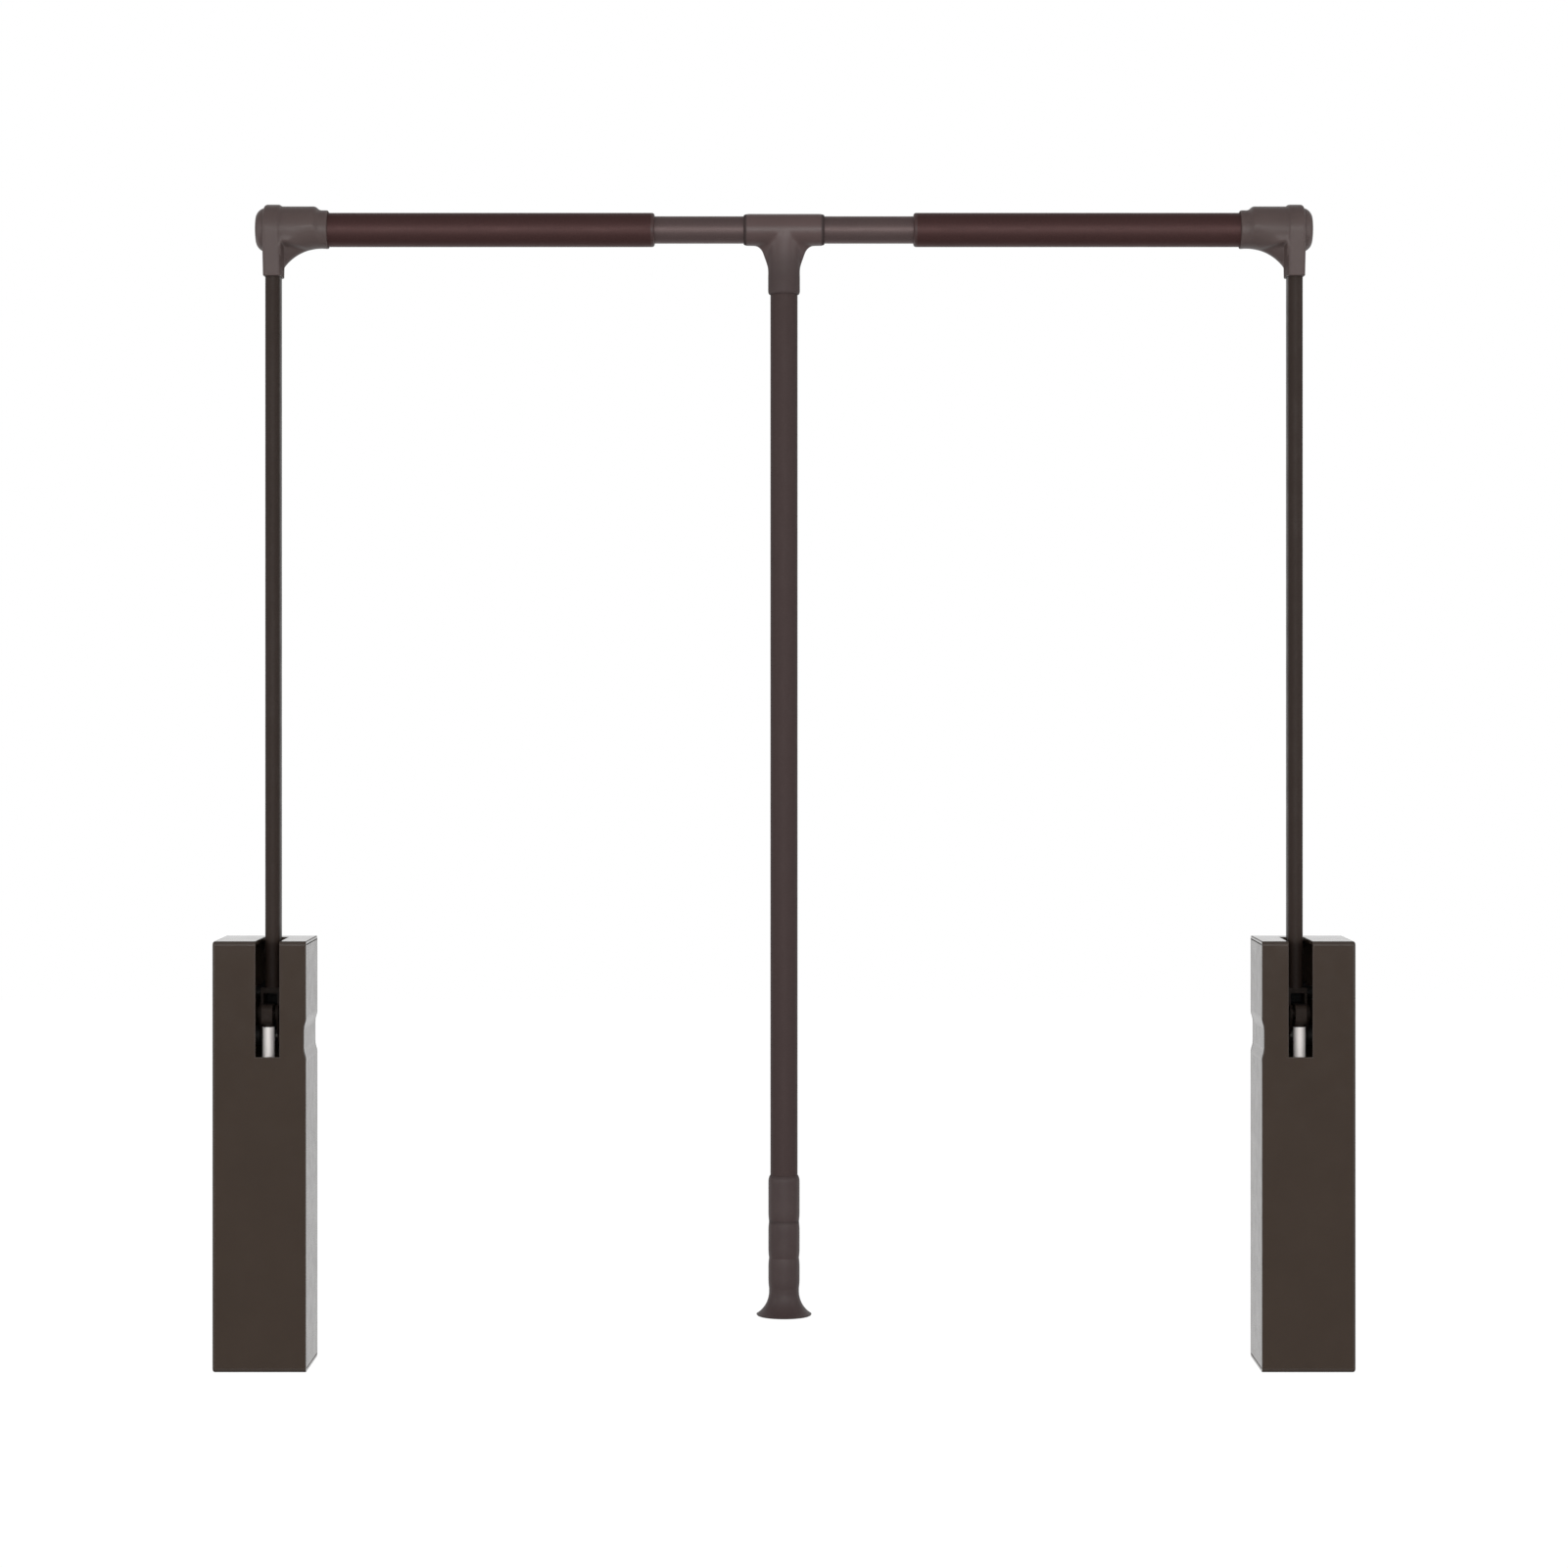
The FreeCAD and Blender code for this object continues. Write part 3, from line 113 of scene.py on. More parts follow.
plate_black, tree, shader = new_finish("plate_black")
tones(tree, shader, grain(tree, 60), (0.0105, 0.010, 0.0095), (0.016, 0.015, 0.0145))
gloss(tree, shader, grain(tree, 240), 0.42, 0.58)
relief(tree, shader, grain(tree, 900, 2), 0.00005, 0.3)
for side in sides:
    dress(plate_black, f"{side}_mounting_plate", f"{side}_inner_plate", f"{side}_spacers")


# Pivot axles and strut foot pins, with their clips. Turned from bright steel bar, so fine rings run round
# them; the clips are spring steel and snap into the pins' grooves.
turned_steel, tree, shader = new_finish("turned_steel")
rings = grain(tree, 260, 2, (12, 1, 1))
tones(tree, shader, rings, (0.33, 0.32, 0.30), (0.47, 0.46, 0.44))
gloss(tree, shader, grain(tree, 500), 0.28, 0.42)
relief(tree, shader, rings, 0.00002, 0.25)
shader.inputs["Metallic"].default_value = 1
for side in sides:
    dress(turned_steel, f"{side}_pivot_axle", f"{side}_strut_foot_pin", f"{side}_pin_clips")


# Distance sleeves on the pins, bushes in the arm forks and bushes on the ends of the inner tube. Moulded
# from black nylon, dry and faintly waxy, pressed on or left to run loose.
nylon_black, tree, shader = new_finish("nylon_black")
tones(tree, shader, grain(tree, 120), (0.012, 0.0115, 0.011), (0.018, 0.0175, 0.017))
gloss(tree, shader, grain(tree, 400), 0.48, 0.6)
relief(tree, shader, grain(tree, 2400, 2), 0.00003, 0.25)
for side in sides:
    dress(nylon_black, f"{side}_pin_sleeves", f"{side}_pivot_bushes")
dress(nylon_black, "rail_end_bushes")


# Stop buffers: sleeves of black rubber pulled over the upper spacers, which the raised arm leans on.
# Cut from extruded tube, dull, with a fine dusty bloom.
rubber_black, tree, shader = new_finish("rubber_black")
tones(tree, shader, grain(tree, 700), (0.009, 0.009, 0.009), (0.019, 0.0185, 0.018), 0.42, 0.7)
gloss(tree, shader, grain(tree, 300), 0.75, 0.88)
relief(tree, shader, grain(tree, 3000, 2), 0.00004, 0.4)
for side in sides:
    dress(rubber_black, f"{side}_stop_buffer")


# Lifting struts: drawn steel cylinder with a closed foot, screwed gland and piston. Sprayed gloss black,
# with the faint orange peel of sprayed paint, and left in the dark of the housing.
strut_paint, tree, shader = new_finish("strut_paint")
tones(tree, shader, grain(tree, 40), (0.009, 0.0088, 0.0085), (0.013, 0.0128, 0.0125))
gloss(tree, shader, grain(tree, 200), 0.32, 0.44)
relief(tree, shader, grain(tree, 450, 2), 0.00006, 0.25)
for side in sides:
    dress(strut_paint, f"{side}_strut_cylinder", f"{side}_strut_gland", f"{side}_strut_piston")


# Piston rods of the struts, the bright bars at the foot of each slot. Ground steel, hard chromed and
# satin polished along its length; its brightness over the whole width is a painted reflection: a near-white
# colour with little metal in it.
rod_chrome, tree, shader = new_finish("rod_chrome")
drawn_lines = grain(tree, 700, 2, (1, 1, 0.02))
# Near-white colour: a painted reflection of the chromed bar.
tones(tree, shader, drawn_lines, (0.93, 0.875, 0.845), (0.98, 0.93, 0.905))
gloss(tree, shader, grain(tree, 900, 2, (1, 1, 0.05)), 0.42, 0.52)
shader.inputs["Metallic"].default_value = 0.2
for side in sides:
    dress(rod_chrome, f"{side}_strut_rod")


# Arm forks with their crank pins and rivets, and the slotted yokes on the struts. Zinc castings and steel
# pins, tumbled and browned almost black together, with casting's pebbled skin and hardly any shine.
cast_mirror = 0.25
cast_black, tree, shader = new_finish("cast_black")
tones(tree, shader, grain(tree, 300), (0.0150, 0.0088, 0.0060), (0.0215, 0.0128, 0.0090))
gloss(tree, shader, grain(tree, 350), 0.62, 0.78)
relief(tree, shader, grain(tree, 1100, 3), 0.00008, 0.4)
shader.inputs["Specular IOR Level"].default_value = cast_mirror
for side in sides:
    dress(cast_black, f"{side}_arm_fork", f"{side}_strut_yoke", f"{side}_crank_pin", f"{side}_arm_rivets")


# Housing shells: one injection moulding each, polished brown, with a slot for the arm and a finger groove.
# The mould rounds the long edges, and wiping has rubbed them dull.
shell_edge = 0.0006
shell_skin = 0.0001
groove_room = 0.0017
edge_steps = 3
crease = math.radians(35)
flat_angle = math.radians(0.5)
flat_enough = 0.999
flat_weight = 100
same_spot = 0.000002


def merged_copy(name, node):
    """A new piece from a CAD node's mesh, its loose triangles joined up, left selected in edit mode."""
    piece = bpy.data.objects.new(name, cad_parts[node].data.copy())
    bpy.context.collection.objects.link(piece)
    bpy.context.view_layer.objects.active = piece
    piece.select_set(True)
    piece.data.materials.clear()
    bpy.ops.mesh.customdata_custom_splitnormals_clear()
    bpy.ops.object.mode_set(mode="EDIT")
    bpy.ops.mesh.select_all(action="SELECT")
    bpy.ops.mesh.remove_doubles(threshold=same_spot)
    return piece


def round_creases(piece, radius, on_skin):
    """Round the sharp edges whose two ends are on the piece's skin; rounded faces take the second finish."""
    bpy.ops.mesh.dissolve_limited(angle_limit=flat_angle)
    mesh = bmesh.from_edit_mesh(piece.data)
    for face in mesh.faces:
        face.material_index = int(max(abs(part) for part in face.normal) < flat_enough)
    bpy.ops.mesh.select_all(action="DESELECT")
    bpy.ops.mesh.select_mode(type="EDGE")
    for edge in mesh.edges:
        sharp = len(edge.link_faces) == 2 and edge.calc_face_angle() > crease
        edge.select = sharp and all(on_skin(end.co) for end in edge.verts)
    bmesh.update_edit_mesh(piece.data)
    bpy.ops.mesh.bevel(offset=radius, segments=edge_steps, affect="EDGES", clamp_overlap=False, material=1)
    bpy.ops.object.mode_set(mode="OBJECT")
    bpy.ops.object.shade_smooth_by_angle(angle=crease)
    flats = piece.modifiers.new("flats", "WEIGHTED_NORMAL")
    flats.keep_sharp = True
    flats.weight = flat_weight
    bpy.ops.object.modifier_apply(modifier=flats.name)
    bpy.ops.object.select_all(action="DESELECT")


def moulding(name, dark, light, smoothest, roughest, mirror=0.5):
    """Moulded plastic: slow drift of colour, spark-eroded grain, and wiped patches in the gloss."""
    finish, tree, shader = new_finish(name)
    shader.inputs["Specular IOR Level"].default_value = mirror
    tones(tree, shader, grain(tree, 30, 4), dark, light)
    gloss(tree, shader, grain(tree, 90, 4), smoothest, roughest)
    relief(tree, shader, grain(tree, 2200, 2), 0.00003, 0.2)
    return finish


shell_brown = moulding("shell_brown", (0.0485, 0.0342, 0.0258), (0.0515, 0.0364, 0.0275), 0.11, 0.16)
shell_rubbed = moulding("shell_rubbed", (0.049, 0.0345, 0.0260), (0.053, 0.0375, 0.0285), 0.45, 0.55)
for side in sides:
    low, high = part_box(f"{side}_housing_shell")
    inner_x = min(low[0], high[0], key=abs)

    def shell_outside(spot):
        """Whether a corner is on the shell's front, back, top, underside or inner rim."""
        on_face = abs(spot.y) > high[1] - shell_skin
        on_end = spot.z < low[2] + shell_skin or spot.z > high[2] - shell_skin
        return on_face or on_end or abs(spot.x - inner_x) < groove_room

    shell = merged_copy(f"{side}_shell", f"{side}_housing_shell")
    shell.data.materials.append(shell_brown)
    shell.data.materials.append(shell_rubbed)
    round_creases(shell, shell_edge, shell_outside)
    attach(shell, f"{side}_housing")
    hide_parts(f"{side}_housing_shell")


# Side covers: brown mouldings that snap into the shells and close them towards the room. Nearly as smooth as
# the shells, so that seen edge-on they mirror the white behind them; they carry the finger groove on.
cover_edge = 0.0004
cover_brown = moulding("cover_brown", (0.038, 0.0255, 0.018), (0.041, 0.0275, 0.0195), 0.2, 0.25)
cover_rubbed = moulding("cover_rubbed", (0.041, 0.0275, 0.0195), (0.046, 0.031, 0.0225), 0.18, 0.22)
for side in sides:
    low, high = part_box(f"{side}_side_cover")
    inner_x = min(low[0], high[0], key=abs)

    def cover_outside(spot):
        """Whether a corner is on the cover's face towards the room."""
        return abs(spot.x - inner_x) < groove_room

    cover = merged_copy(f"{side}_cover", f"{side}_side_cover")
    cover.data.materials.append(cover_brown)
    cover.data.materials.append(cover_rubbed)
    round_creases(cover, cover_edge, cover_outside)
    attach(cover, f"{side}_housing")
    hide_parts(f"{side}_side_cover")


# Screws: four in each housing that hold the shell, and the grub screws on the backs of the elbows, the tee
# and the handle. Steel, blackened, and rubbed to bare metal in specks where they were turned.
screw_black, tree, shader = new_finish("screw_black")
tones(tree, shader, grain(tree, 900), (0.016, 0.015, 0.0145), (0.075, 0.072, 0.07), 0.55, 0.8)
gloss(tree, shader, grain(tree, 500), 0.36, 0.5)
shader.inputs["Metallic"].default_value = 0.6
for side in sides:
    dress(screw_black, f"{side}_shell_screws", f"{side}_elbow_screws")
dress(screw_black, "pull_screws")


# Arms: flat-oval steel tube, riveted to the forks. Powder coated brown, so the skin has a soft orange peel
# and a speckle of darker grains; the foot, inside the housing, is darkened with painted shade, the shade of
# the slot it stands in.
pivot_height = 0.242
slot_shade_end = 0.066
slot_shade_fade = 0.074
slot_shade_share = 0.78


def painted_shade_band(tree, shader, axis, spot, near, far, share):
    """Painted shade round a spot on an axis, full up to near and gone past far: a share of the colour, and
    rougher.
    """
    place = tree.nodes.new("ShaderNodeTexCoord")
    parts = tree.nodes.new("ShaderNodeSeparateXYZ")
    tree.links.new(place.outputs["Object"], parts.inputs["Vector"])
    offset = tree.nodes.new("ShaderNodeMath")
    offset.operation = "SUBTRACT"
    offset.inputs[1].default_value = spot
    tree.links.new(parts.outputs[axis], offset.inputs[0])
    distance = tree.nodes.new("ShaderNodeMath")
    distance.operation = "ABSOLUTE"
    tree.links.new(offset.outputs["Value"], distance.inputs[0])
    unshaded = tree.nodes.new("ShaderNodeMapRange")
    unshaded.interpolation_type = "SMOOTHSTEP"
    unshaded.inputs["From Min"].default_value = near
    unshaded.inputs["From Max"].default_value = far
    unshaded.inputs["To Min"].default_value = share
    tree.links.new(distance.outputs["Value"], unshaded.inputs["Value"])
    shaded_colour = tree.nodes.new("ShaderNodeVectorMath")
    shaded_colour.operation = "SCALE"
    tree.links.new(shader.inputs["Base Color"].links[0].from_socket, shaded_colour.inputs["Vector"])
    tree.links.new(unshaded.outputs["Result"], shaded_colour.inputs["Scale"])
    tree.links.new(shaded_colour.outputs["Vector"], shader.inputs["Base Color"])
    rougher = tree.nodes.new("ShaderNodeMath")
    rougher.operation = "DIVIDE"
    rougher.use_clamp = True
    tree.links.new(shader.inputs["Roughness"].links[0].from_socket, rougher.inputs[0])
    tree.links.new(unshaded.outputs["Result"], rougher.inputs[1])
    tree.links.new(rougher.outputs["Value"], shader.inputs["Roughness"])


def powder_coat(name, dark, light, smoothest, roughest, mirror):
    """Powder coat on steel: fine speckle of two tones, orange peel, and a slow drift of gloss."""
    finish, tree, shader = new_finish(name)
    tones(tree, shader, grain(tree, 3800, 2), dark, light)
    gloss(tree, shader, grain(tree, 60), smoothest, roughest)
    relief(tree, shader, grain(tree, 650, 2), 0.00004, 0.3)
    shader.inputs["Specular IOR Level"].default_value = mirror
    return finish


arm_brown = powder_coat("arm_brown", (0.025, 0.0145, 0.0105), (0.035, 0.0210, 0.0155), 0.46, 0.56, 0.25)
tree = arm_brown.node_tree
# Painted shade: the arm's foot is darker round the pivot height, where it sits in the slot.
painted_shade_band(tree, tree.nodes["Principled BSDF"], "Z", pivot_height, slot_shade_end, slot_shade_fade, slot_shade_share)
for side in sides:
    dress(arm_brown, f"{side}_arm_tube")


# Elbows and their caps: brown mouldings that take the arm below and the tube of the rail at the side. The
# mould's radii run all the forms into one another; the domed cap is pressed into the outer end. Hangers
# that slide along the rail have rubbed the sides towards it dull, and those sides are a little darker too:
# painted shade that dims the light they catch.
elbow_cell = 0.0005
elbow_passes = 6
saddle_passes = 40
saddle_start = 0.0073
saddle_end = 0.034
saddle_top = -0.002
web_under = -0.011
web_slope = 0.2
web_share = 0.6
faces_rail = 0.8
flow_factor = 0.5


def skin_over(piece, cell):
    """Rebuild a merged copy as one even skin."""
    bpy.ops.object.mode_set(mode="OBJECT")
    skin = piece.modifiers.new("skin", "REMESH")
    skin.mode = "VOXEL"
    skin.voxel_size = cell
    bpy.ops.object.modifier_apply(modifier=skin.name)


def resize_points(piece, chosen, factors, centre):
    """Scale the chosen points of a skin about a centre."""
    bpy.ops.object.mode_set(mode="EDIT")
    bpy.ops.mesh.select_mode(type="VERT")
    bpy.ops.mesh.select_all(action="DESELECT")
    mesh = bmesh.from_edit_mesh(piece.data)
    for corner in mesh.verts:
        corner.select = chosen(corner.co)
    bmesh.update_edit_mesh(piece.data)
    bpy.ops.transform.resize(value=factors, center_override=centre)
    bpy.ops.object.mode_set(mode="OBJECT")


def run_together(piece, passes, melting_passes, melting):
    """Smooth a skin, so its forms flow into one another, most of all where they are melting."""
    soft = piece.vertex_groups.new(name="soft")
    soft.add([spot.index for spot in piece.data.vertices if melting(spot.co)], 1, "REPLACE")
    for count, where in ((melting_passes, "soft"), (passes, "")):
        flow = piece.modifiers.new("flow", "SMOOTH")
        flow.factor = flow_factor
        flow.iterations = count
        flow.vertex_group = where
        bpy.ops.object.modifier_apply(modifier=flow.name)
    piece.vertex_groups.clear()
    bpy.ops.object.shade_smooth()
    bpy.ops.object.select_all(action="DESELECT")


elbow_brown = moulding("elbow_brown", (0.086, 0.0605, 0.057), (0.098, 0.0695, 0.065), 0.42, 0.5, 0.4)
# The sides towards the rail: a duller finish, and a darker tone that is painted shade.
elbow_shaded_side = moulding("elbow_shaded_side", (0.078, 0.0550, 0.052), (0.089, 0.0630, 0.059), 0.65, 0.75, 0.1)
for side in sides:
    low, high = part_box(f"{side}_arm_tube")
    arm_middle = (low[0] + high[0]) / 2
    low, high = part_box(f"{side}_outer_tube")
    rail_height = (low[2] + high[2]) / 2
    tube_radius = high[1]

    def between(spot, top):
        """Whether a point is between the elbow's column and its collar, below a height on the rail."""
        inwards = abs(arm_middle) - abs(spot.x)
        outside = Vector((0, spot.y, spot.z - rail_height)).length > tube_radius
        below = spot.z < rail_height + top - web_slope * (inwards - saddle_start)
        return saddle_start < inwards < saddle_end and below and outside

    elbow = merged_copy(f"{side}_elbow_moulding", f"{side}_elbow")
    skin_over(elbow, elbow_cell)
    resize_points(elbow, lambda spot: between(spot, web_under), (1, web_share, 1), (0, 0, 0))
    run_together(elbow, elbow_passes, saddle_passes, lambda spot: between(spot, saddle_top))
    elbow.data.materials.append(elbow_brown)
    elbow.data.materials.append(elbow_shaded_side)
    for face in elbow.data.polygons:
        face.material_index = int(face.normal.x * math.copysign(1, arm_middle) < -faces_rail)
    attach(elbow, f"{side}_arm")
    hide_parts(f"{side}_elbow")
    dress(elbow_brown, f"{side}_elbow_cap")


# Tubes of the telescopic rail: welded steel tube, the thinner one sliding in the thicker ones. Sprayed with
# a brown metallic coat whose fine flake lies along the tube and lightens the middle of the thinner one.
def flake_coat(name, dark, light, smoothest, roughest, metal, stretch, mirror=0.5):
    """Metallic paint: fine flake of two tones drawn out along the tube, lightly wiped along it too."""
    finish, tree, shader = new_finish(name)
    shader.inputs["Specular IOR Level"].default_value = mirror
    tones(tree, shader, grain(tree, 4200, 2, stretch), dark, light)
    gloss(tree, shader, grain(tree, 260, 3, stretch), smoothest, roughest)
    relief(tree, shader, grain(tree, 500, 2, stretch), 0.00003, 0.2)
    shader.inputs["Metallic"].default_value = metal
    return finish


along_rail = (0.25, 1, 1)
outer_dark = (0.068, 0.0285, 0.027)
outer_light = (0.088, 0.039, 0.037)
outer_brown = flake_coat("outer_brown", outer_dark, outer_light, 0.5, 0.58, 0.5, along_rail)
inner_dark = (0.116, 0.079, 0.077)
inner_light = (0.144, 0.100, 0.097)
inner_brown = flake_coat("inner_brown", inner_dark, inner_light, 0.45, 0.53, 0.5, along_rail)
for side in sides:
    dress(outer_brown, f"{side}_outer_tube")
dress(inner_brown, "inner_rail")


# Mouth bushes: moulded rings in the mouths of the thicker tubes that guide the thinner one. The same brown
# as the tubes, but plain plastic.
mouth_brown = moulding("mouth_brown", (0.058, 0.029, 0.0275), (0.066, 0.034, 0.0325), 0.44, 0.54)
for side in sides:
    dress(mouth_brown, f"{side}_mouth_bush")


# Tee: a lighter brown moulding clamped on the middle of the rail, with a leg for the pull tube. Its sleeve,
# leg and webs run into one another in the mould's radii; painted shade rings the sleeve's ends and darkens
# the leg towards its foot.
tee_cell = 0.0005
tee_passes = 6
sleeve_wall = 0.0008
bore_room = 0.0005
bore_ease = 1.04
lip = 0.0007
web_passes = 60
web_reach = 0.027
web_top = 0.004
web_low = -0.034
ring_inset = 0.0013
ring_near = 0.0004
ring_far = 0.0024
ring_shade_share = 0.4
leg_near = 0.012
leg_far = 0.05
leg_shade_share = 0.58
low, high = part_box("inner_rail")
rail_height = (low[2] + high[2]) / 2
rail_radius = high[1]
low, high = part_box("tee_fitting")
sleeve_ring = high[0] - ring_inset
tee_brown = moulding("tee_brown", (0.096, 0.0620, 0.0595), (0.108, 0.0705, 0.0680), 0.36, 0.42, 0.45)
tree = tee_brown.node_tree
shader = tree.nodes["Principled BSDF"]
# Painted shade: dark rings at the sleeve's ends, and the leg darker towards its foot.
for ring in (-sleeve_ring, sleeve_ring):
    painted_shade_band(tree, shader, "X", ring, ring_near, ring_far, ring_shade_share)
painted_shade_band(tree, shader, "Z", low[2], leg_near, leg_far, leg_shade_share)


def on_web(spot):
    """Whether a point is on the outside of the tee, where sleeve, leg and webs meet."""
    outside = Vector((0, spot.y, spot.z - rail_height)).length > rail_radius + sleeve_wall
    off_leg = Vector((spot.x, spot.y, 0)).length > rail_radius + sleeve_wall
    return outside and off_leg and abs(spot.x) < web_reach and web_low < spot.z - rail_height < web_top


def in_sleeve(spot):
    """Whether a point is on the wall of the bore for the rail."""
    return Vector((0, spot.y, spot.z - rail_height)).length < rail_radius + bore_room


def in_leg(spot):
    """Whether a point is on the wall of the bore for the pull tube."""
    return Vector((spot.x, spot.y, 0)).length < rail_radius + bore_room and spot.z < rail_height - rail_radius


tee = merged_copy("tee_moulding", "tee_fitting")
skin_over(tee, tee_cell)
resize_points(tee, in_sleeve, (1, bore_ease, bore_ease), (0, 0, rail_height))
resize_points(tee, in_leg, (bore_ease, bore_ease, 1), (0, 0, 0))
run_together(tee, tee_passes, web_passes, on_web)
bpy.ops.object.mode_set(mode="EDIT")
for end, outwards in (
    ((high[0] - lip, 0, 0), (1, 0, 0)),
    ((low[0] + lip, 0, 0), (-1, 0, 0)),
    ((0, 0, low[2] + lip), (0, 0, -1)),
):
    bpy.ops.mesh.select_all(action="SELECT")
    bpy.ops.mesh.bisect(plane_co=end, plane_no=outwards, use_fill=True, clear_outer=True)
bpy.ops.object.mode_set(mode="OBJECT")
tee.select_set(True)
bpy.ops.object.shade_smooth_by_angle(angle=crease)
bpy.ops.object.select_all(action="DESELECT")
tee.data.materials.append(tee_brown)
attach(tee, "pull_assembly")
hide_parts("tee_fitting")


# Pull tube: welded steel tube like the rail's, hanging from the tee. Sprayed a duller brown than the rail,
# with less metal in it; the flake is drawn out along the tube.
along_rod = (1, 1, 0.25)
pull_dark = (0.052, 0.0330, 0.0315)
pull_light = (0.061, 0.0390, 0.0370)
pull_brown = flake_coat("pull_brown", pull_dark, pull_light, 0.56, 0.64, 0.1, along_rod, 0.25)
dress(pull_brown, "pull_tube")


# Handle: a collar and a grip with two waists and a flared end, pushed on to the pull tube and screwed to it.
# Satin brown moulded plastic, with painted shade in the seams above and below the collar.
seam_near = 0.0006
seam_far = 0.0022
seam_shade_share = 0.85
grip_brown = moulding("grip_brown", (0.055, 0.0355, 0.0348), (0.064, 0.0422, 0.0410), 0.48, 0.54, 0.38)
tree = grip_brown.node_tree
low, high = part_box("handle_collar")
# Painted shade: the seams above and below the collar are darker.
for seam in (low[2], high[2]):
    painted_shade_band(tree, tree.nodes["Principled BSDF"], "Z", seam, seam_near, seam_far, seam_shade_share)
dress(grip_brown, "handle_collar", "handle_grip")


# Studio: a pale floor well below the lift, because the pull rod swings down past the housings, and a white
# backdrop. In reflections both fade out towards the camera, as in a dim room with one white wall.
floor_drop = 0.95
floor_size = 30
floor_rough = 0.9
floor_shade = 0.12
floor_glow = 0.95
floor_fade = (0, 2)
front_level = 0.15
bpy.ops.mesh.primitive_plane_add(size=floor_size, location=(0, 0, -floor_drop))
floor = bpy.context.object
floor.name = "studio_floor"


def fading(tree, depth, nearest, farthest):
    """The backdrop's brightness in reflections, from the dim front of the studio to the white behind."""
    fade = tree.nodes.new("ShaderNodeMapRange")
    fade.interpolation_type = "SMOOTHSTEP"
    fade.inputs["From Min"].default_value = nearest
    fade.inputs["From Max"].default_value = farthest
    fade.inputs["To Min"].default_value = front_level
    fade.inputs["To Max"].default_value = 1
    tree.links.new(depth, fade.inputs["Value"])
    return fade.outputs["Result"]


def by_ray(tree, lit, mirrored, seen):
    """One shader that lights the scene, one that reflections show and one that the camera sees."""
    rays = tree.nodes.new("ShaderNodeLightPath")
    bounced = tree.nodes.new("ShaderNodeMath")
    bounced.operation = "MAXIMUM"
    tree.links.new(rays.outputs["Is Glossy Ray"], bounced.inputs[0])
    tree.links.new(rays.outputs["Is Transmission Ray"], bounced.inputs[1])
    indirect = tree.nodes.new("ShaderNodeMixShader")
    tree.links.new(bounced.outputs["Value"], indirect.inputs["Fac"])
    tree.links.new(lit, indirect.inputs[1])
    tree.links.new(mirrored, indirect.inputs[2])
    shown = tree.nodes.new("ShaderNodeMixShader")
    tree.links.new(rays.outputs["Is Camera Ray"], shown.inputs["Fac"])
    tree.links.new(indirect.outputs["Shader"], shown.inputs[1])
    tree.links.new(seen, shown.inputs[2])
    return shown.outputs["Shader"]


floor_pale, tree, shader = new_finish("floor_pale")
tones(tree, shader, grain(tree, 3), (0.58, 0.58, 0.58), (0.62, 0.62, 0.62))
shader.inputs["Roughness"].default_value = floor_rough
shade = tree.nodes.new("ShaderNodeBsdfDiffuse")
shade.inputs["Color"].default_value = (floor_shade, floor_shade, floor_shade, 1)
glow = tree.nodes.new("ShaderNodeEmission")
glow.inputs["Strength"].default_value = floor_glow
seen = tree.nodes.new("ShaderNodeAddShader")
tree.links.new(shade.outputs["BSDF"], seen.inputs[0])
tree.links.new(glow.outputs["Emission"], seen.inputs[1])
place = tree.nodes.new("ShaderNodeTexCoord")
parts = tree.nodes.new("ShaderNodeSeparateXYZ")
tree.links.new(place.outputs["Object"], parts.inputs["Vector"])
mirrored = tree.nodes.new("ShaderNodeEmission")
tree.links.new(fading(tree, parts.outputs["Y"], *floor_fade), mirrored.inputs["Strength"])
surface = by_ray(tree, shader.outputs["BSDF"], mirrored.outputs["Emission"], seen.outputs["Shader"])
tree.links.new(surface, tree.nodes["Material Output"].inputs["Surface"])
floor.data.materials.append(floor_pale)

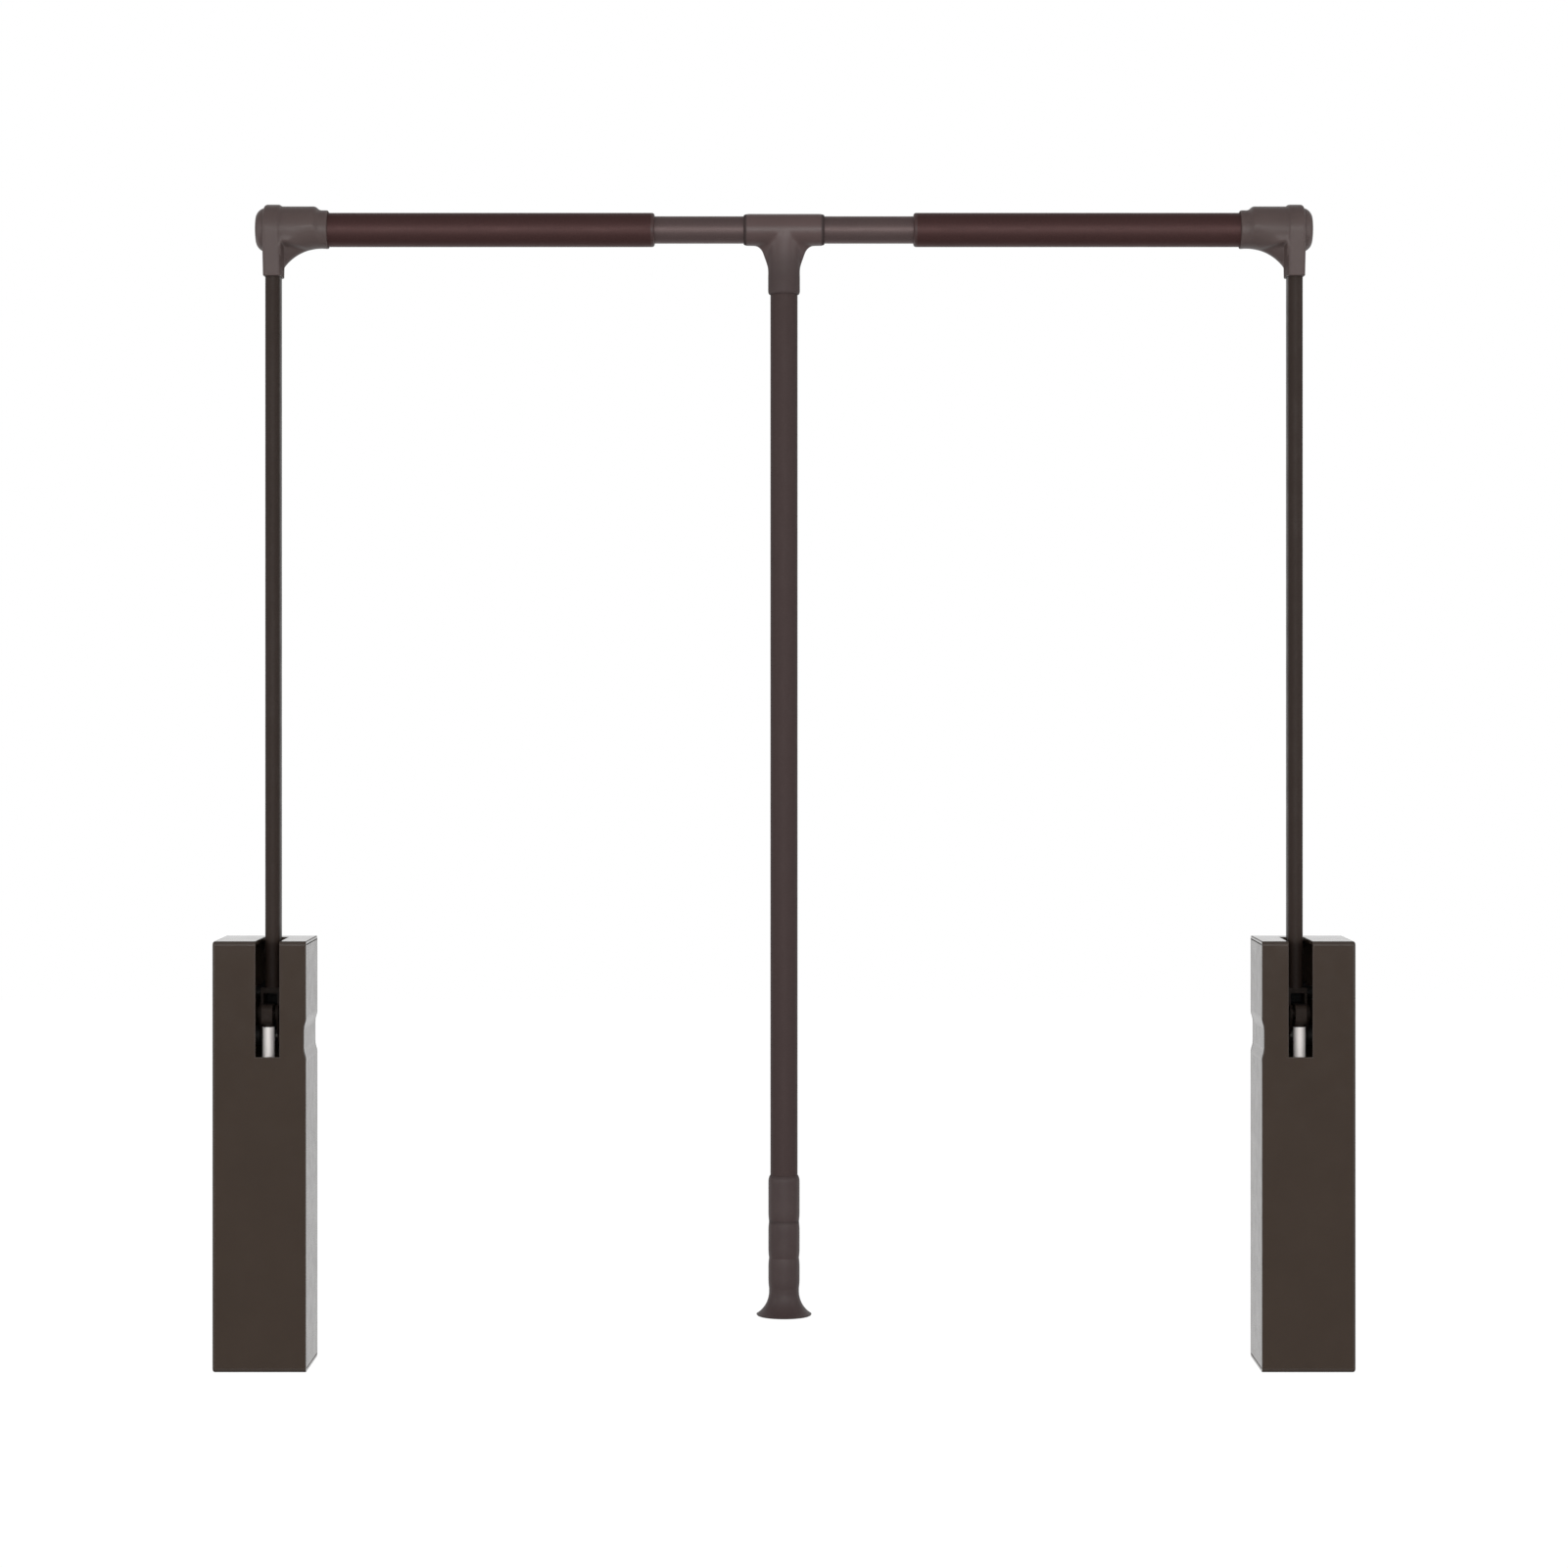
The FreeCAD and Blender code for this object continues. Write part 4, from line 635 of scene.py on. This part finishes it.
ambient_level = 0.55
backdrop_fade = (0.35, 0.85)
world = bpy.data.worlds.new("studio")
bpy.context.scene.world = world
world.use_nodes = True
tree = world.node_tree
ambient = tree.nodes["Background"]
ambient.inputs["Color"].default_value = (1, 1, 1, 1)
ambient.inputs["Strength"].default_value = ambient_level
around = tree.nodes.new("ShaderNodeTexCoord")
parts = tree.nodes.new("ShaderNodeSeparateXYZ")
tree.links.new(around.outputs["Generated"], parts.inputs["Vector"])
backdrop = tree.nodes.new("ShaderNodeBackground")
backdrop.inputs["Color"].default_value = (1, 1, 1, 1)
tree.links.new(fading(tree, parts.outputs["Y"], *backdrop_fade), backdrop.inputs["Strength"])
white = tree.nodes.new("ShaderNodeBackground")
white.inputs["Color"].default_value = (1, 1, 1, 1)
sky = by_ray(tree, ambient.outputs["Background"], backdrop.outputs["Background"], white.outputs["Background"])
tree.links.new(sky, tree.nodes["World Output"].inputs["Surface"])


# Lamps: a broad soft one behind the camera, as high as the rail, and a square one on each side.
# They are flat soft boxes, and all are aimed at the middle of the lift.
middle_of_lift = Vector((0, 0, 0.45))


def soft_lamp(name, place, width, height, power):
    """A flat soft lamp aimed at the middle of the lift."""
    bpy.ops.object.light_add(type="AREA", location=place)
    lamp = bpy.context.object
    lamp.name = name
    lamp.data.shape = "RECTANGLE"
    lamp.data.size = width
    lamp.data.size_y = height
    lamp.data.energy = power
    lamp.rotation_euler = (middle_of_lift - lamp.location).to_track_quat("-Z", "Y").to_euler()


soft_lamp("front_lamp", (0, -3.1, 0.8), width=4.5, height=0.8, power=52)
soft_lamp("left_lamp", (-2.8, -1.0, 0.8), width=1.6, height=1.6, power=14)
soft_lamp("right_lamp", (2.8, -1.0, 0.8), width=1.6, height=1.6, power=14)


# Camera: level, in line with the pull rod and a little above the middle of the lift, as in the photograph.
# The shift frames the lift without tilting the view, so the uprights stay parallel.
camera_distance = 2.845
camera_height = 0.4988
focal_length = 88.9
film_width = 36
horizon_shift = -0.0628
level = math.radians(90)
bpy.ops.object.camera_add(location=(0, -camera_distance, camera_height), rotation=(level, 0, 0))
camera = bpy.context.object
camera.data.lens = focal_length
camera.data.sensor_width = film_width
camera.data.shift_y = horizon_shift
bpy.context.scene.camera = camera
bpy.context.scene.view_settings.view_transform = "Standard"
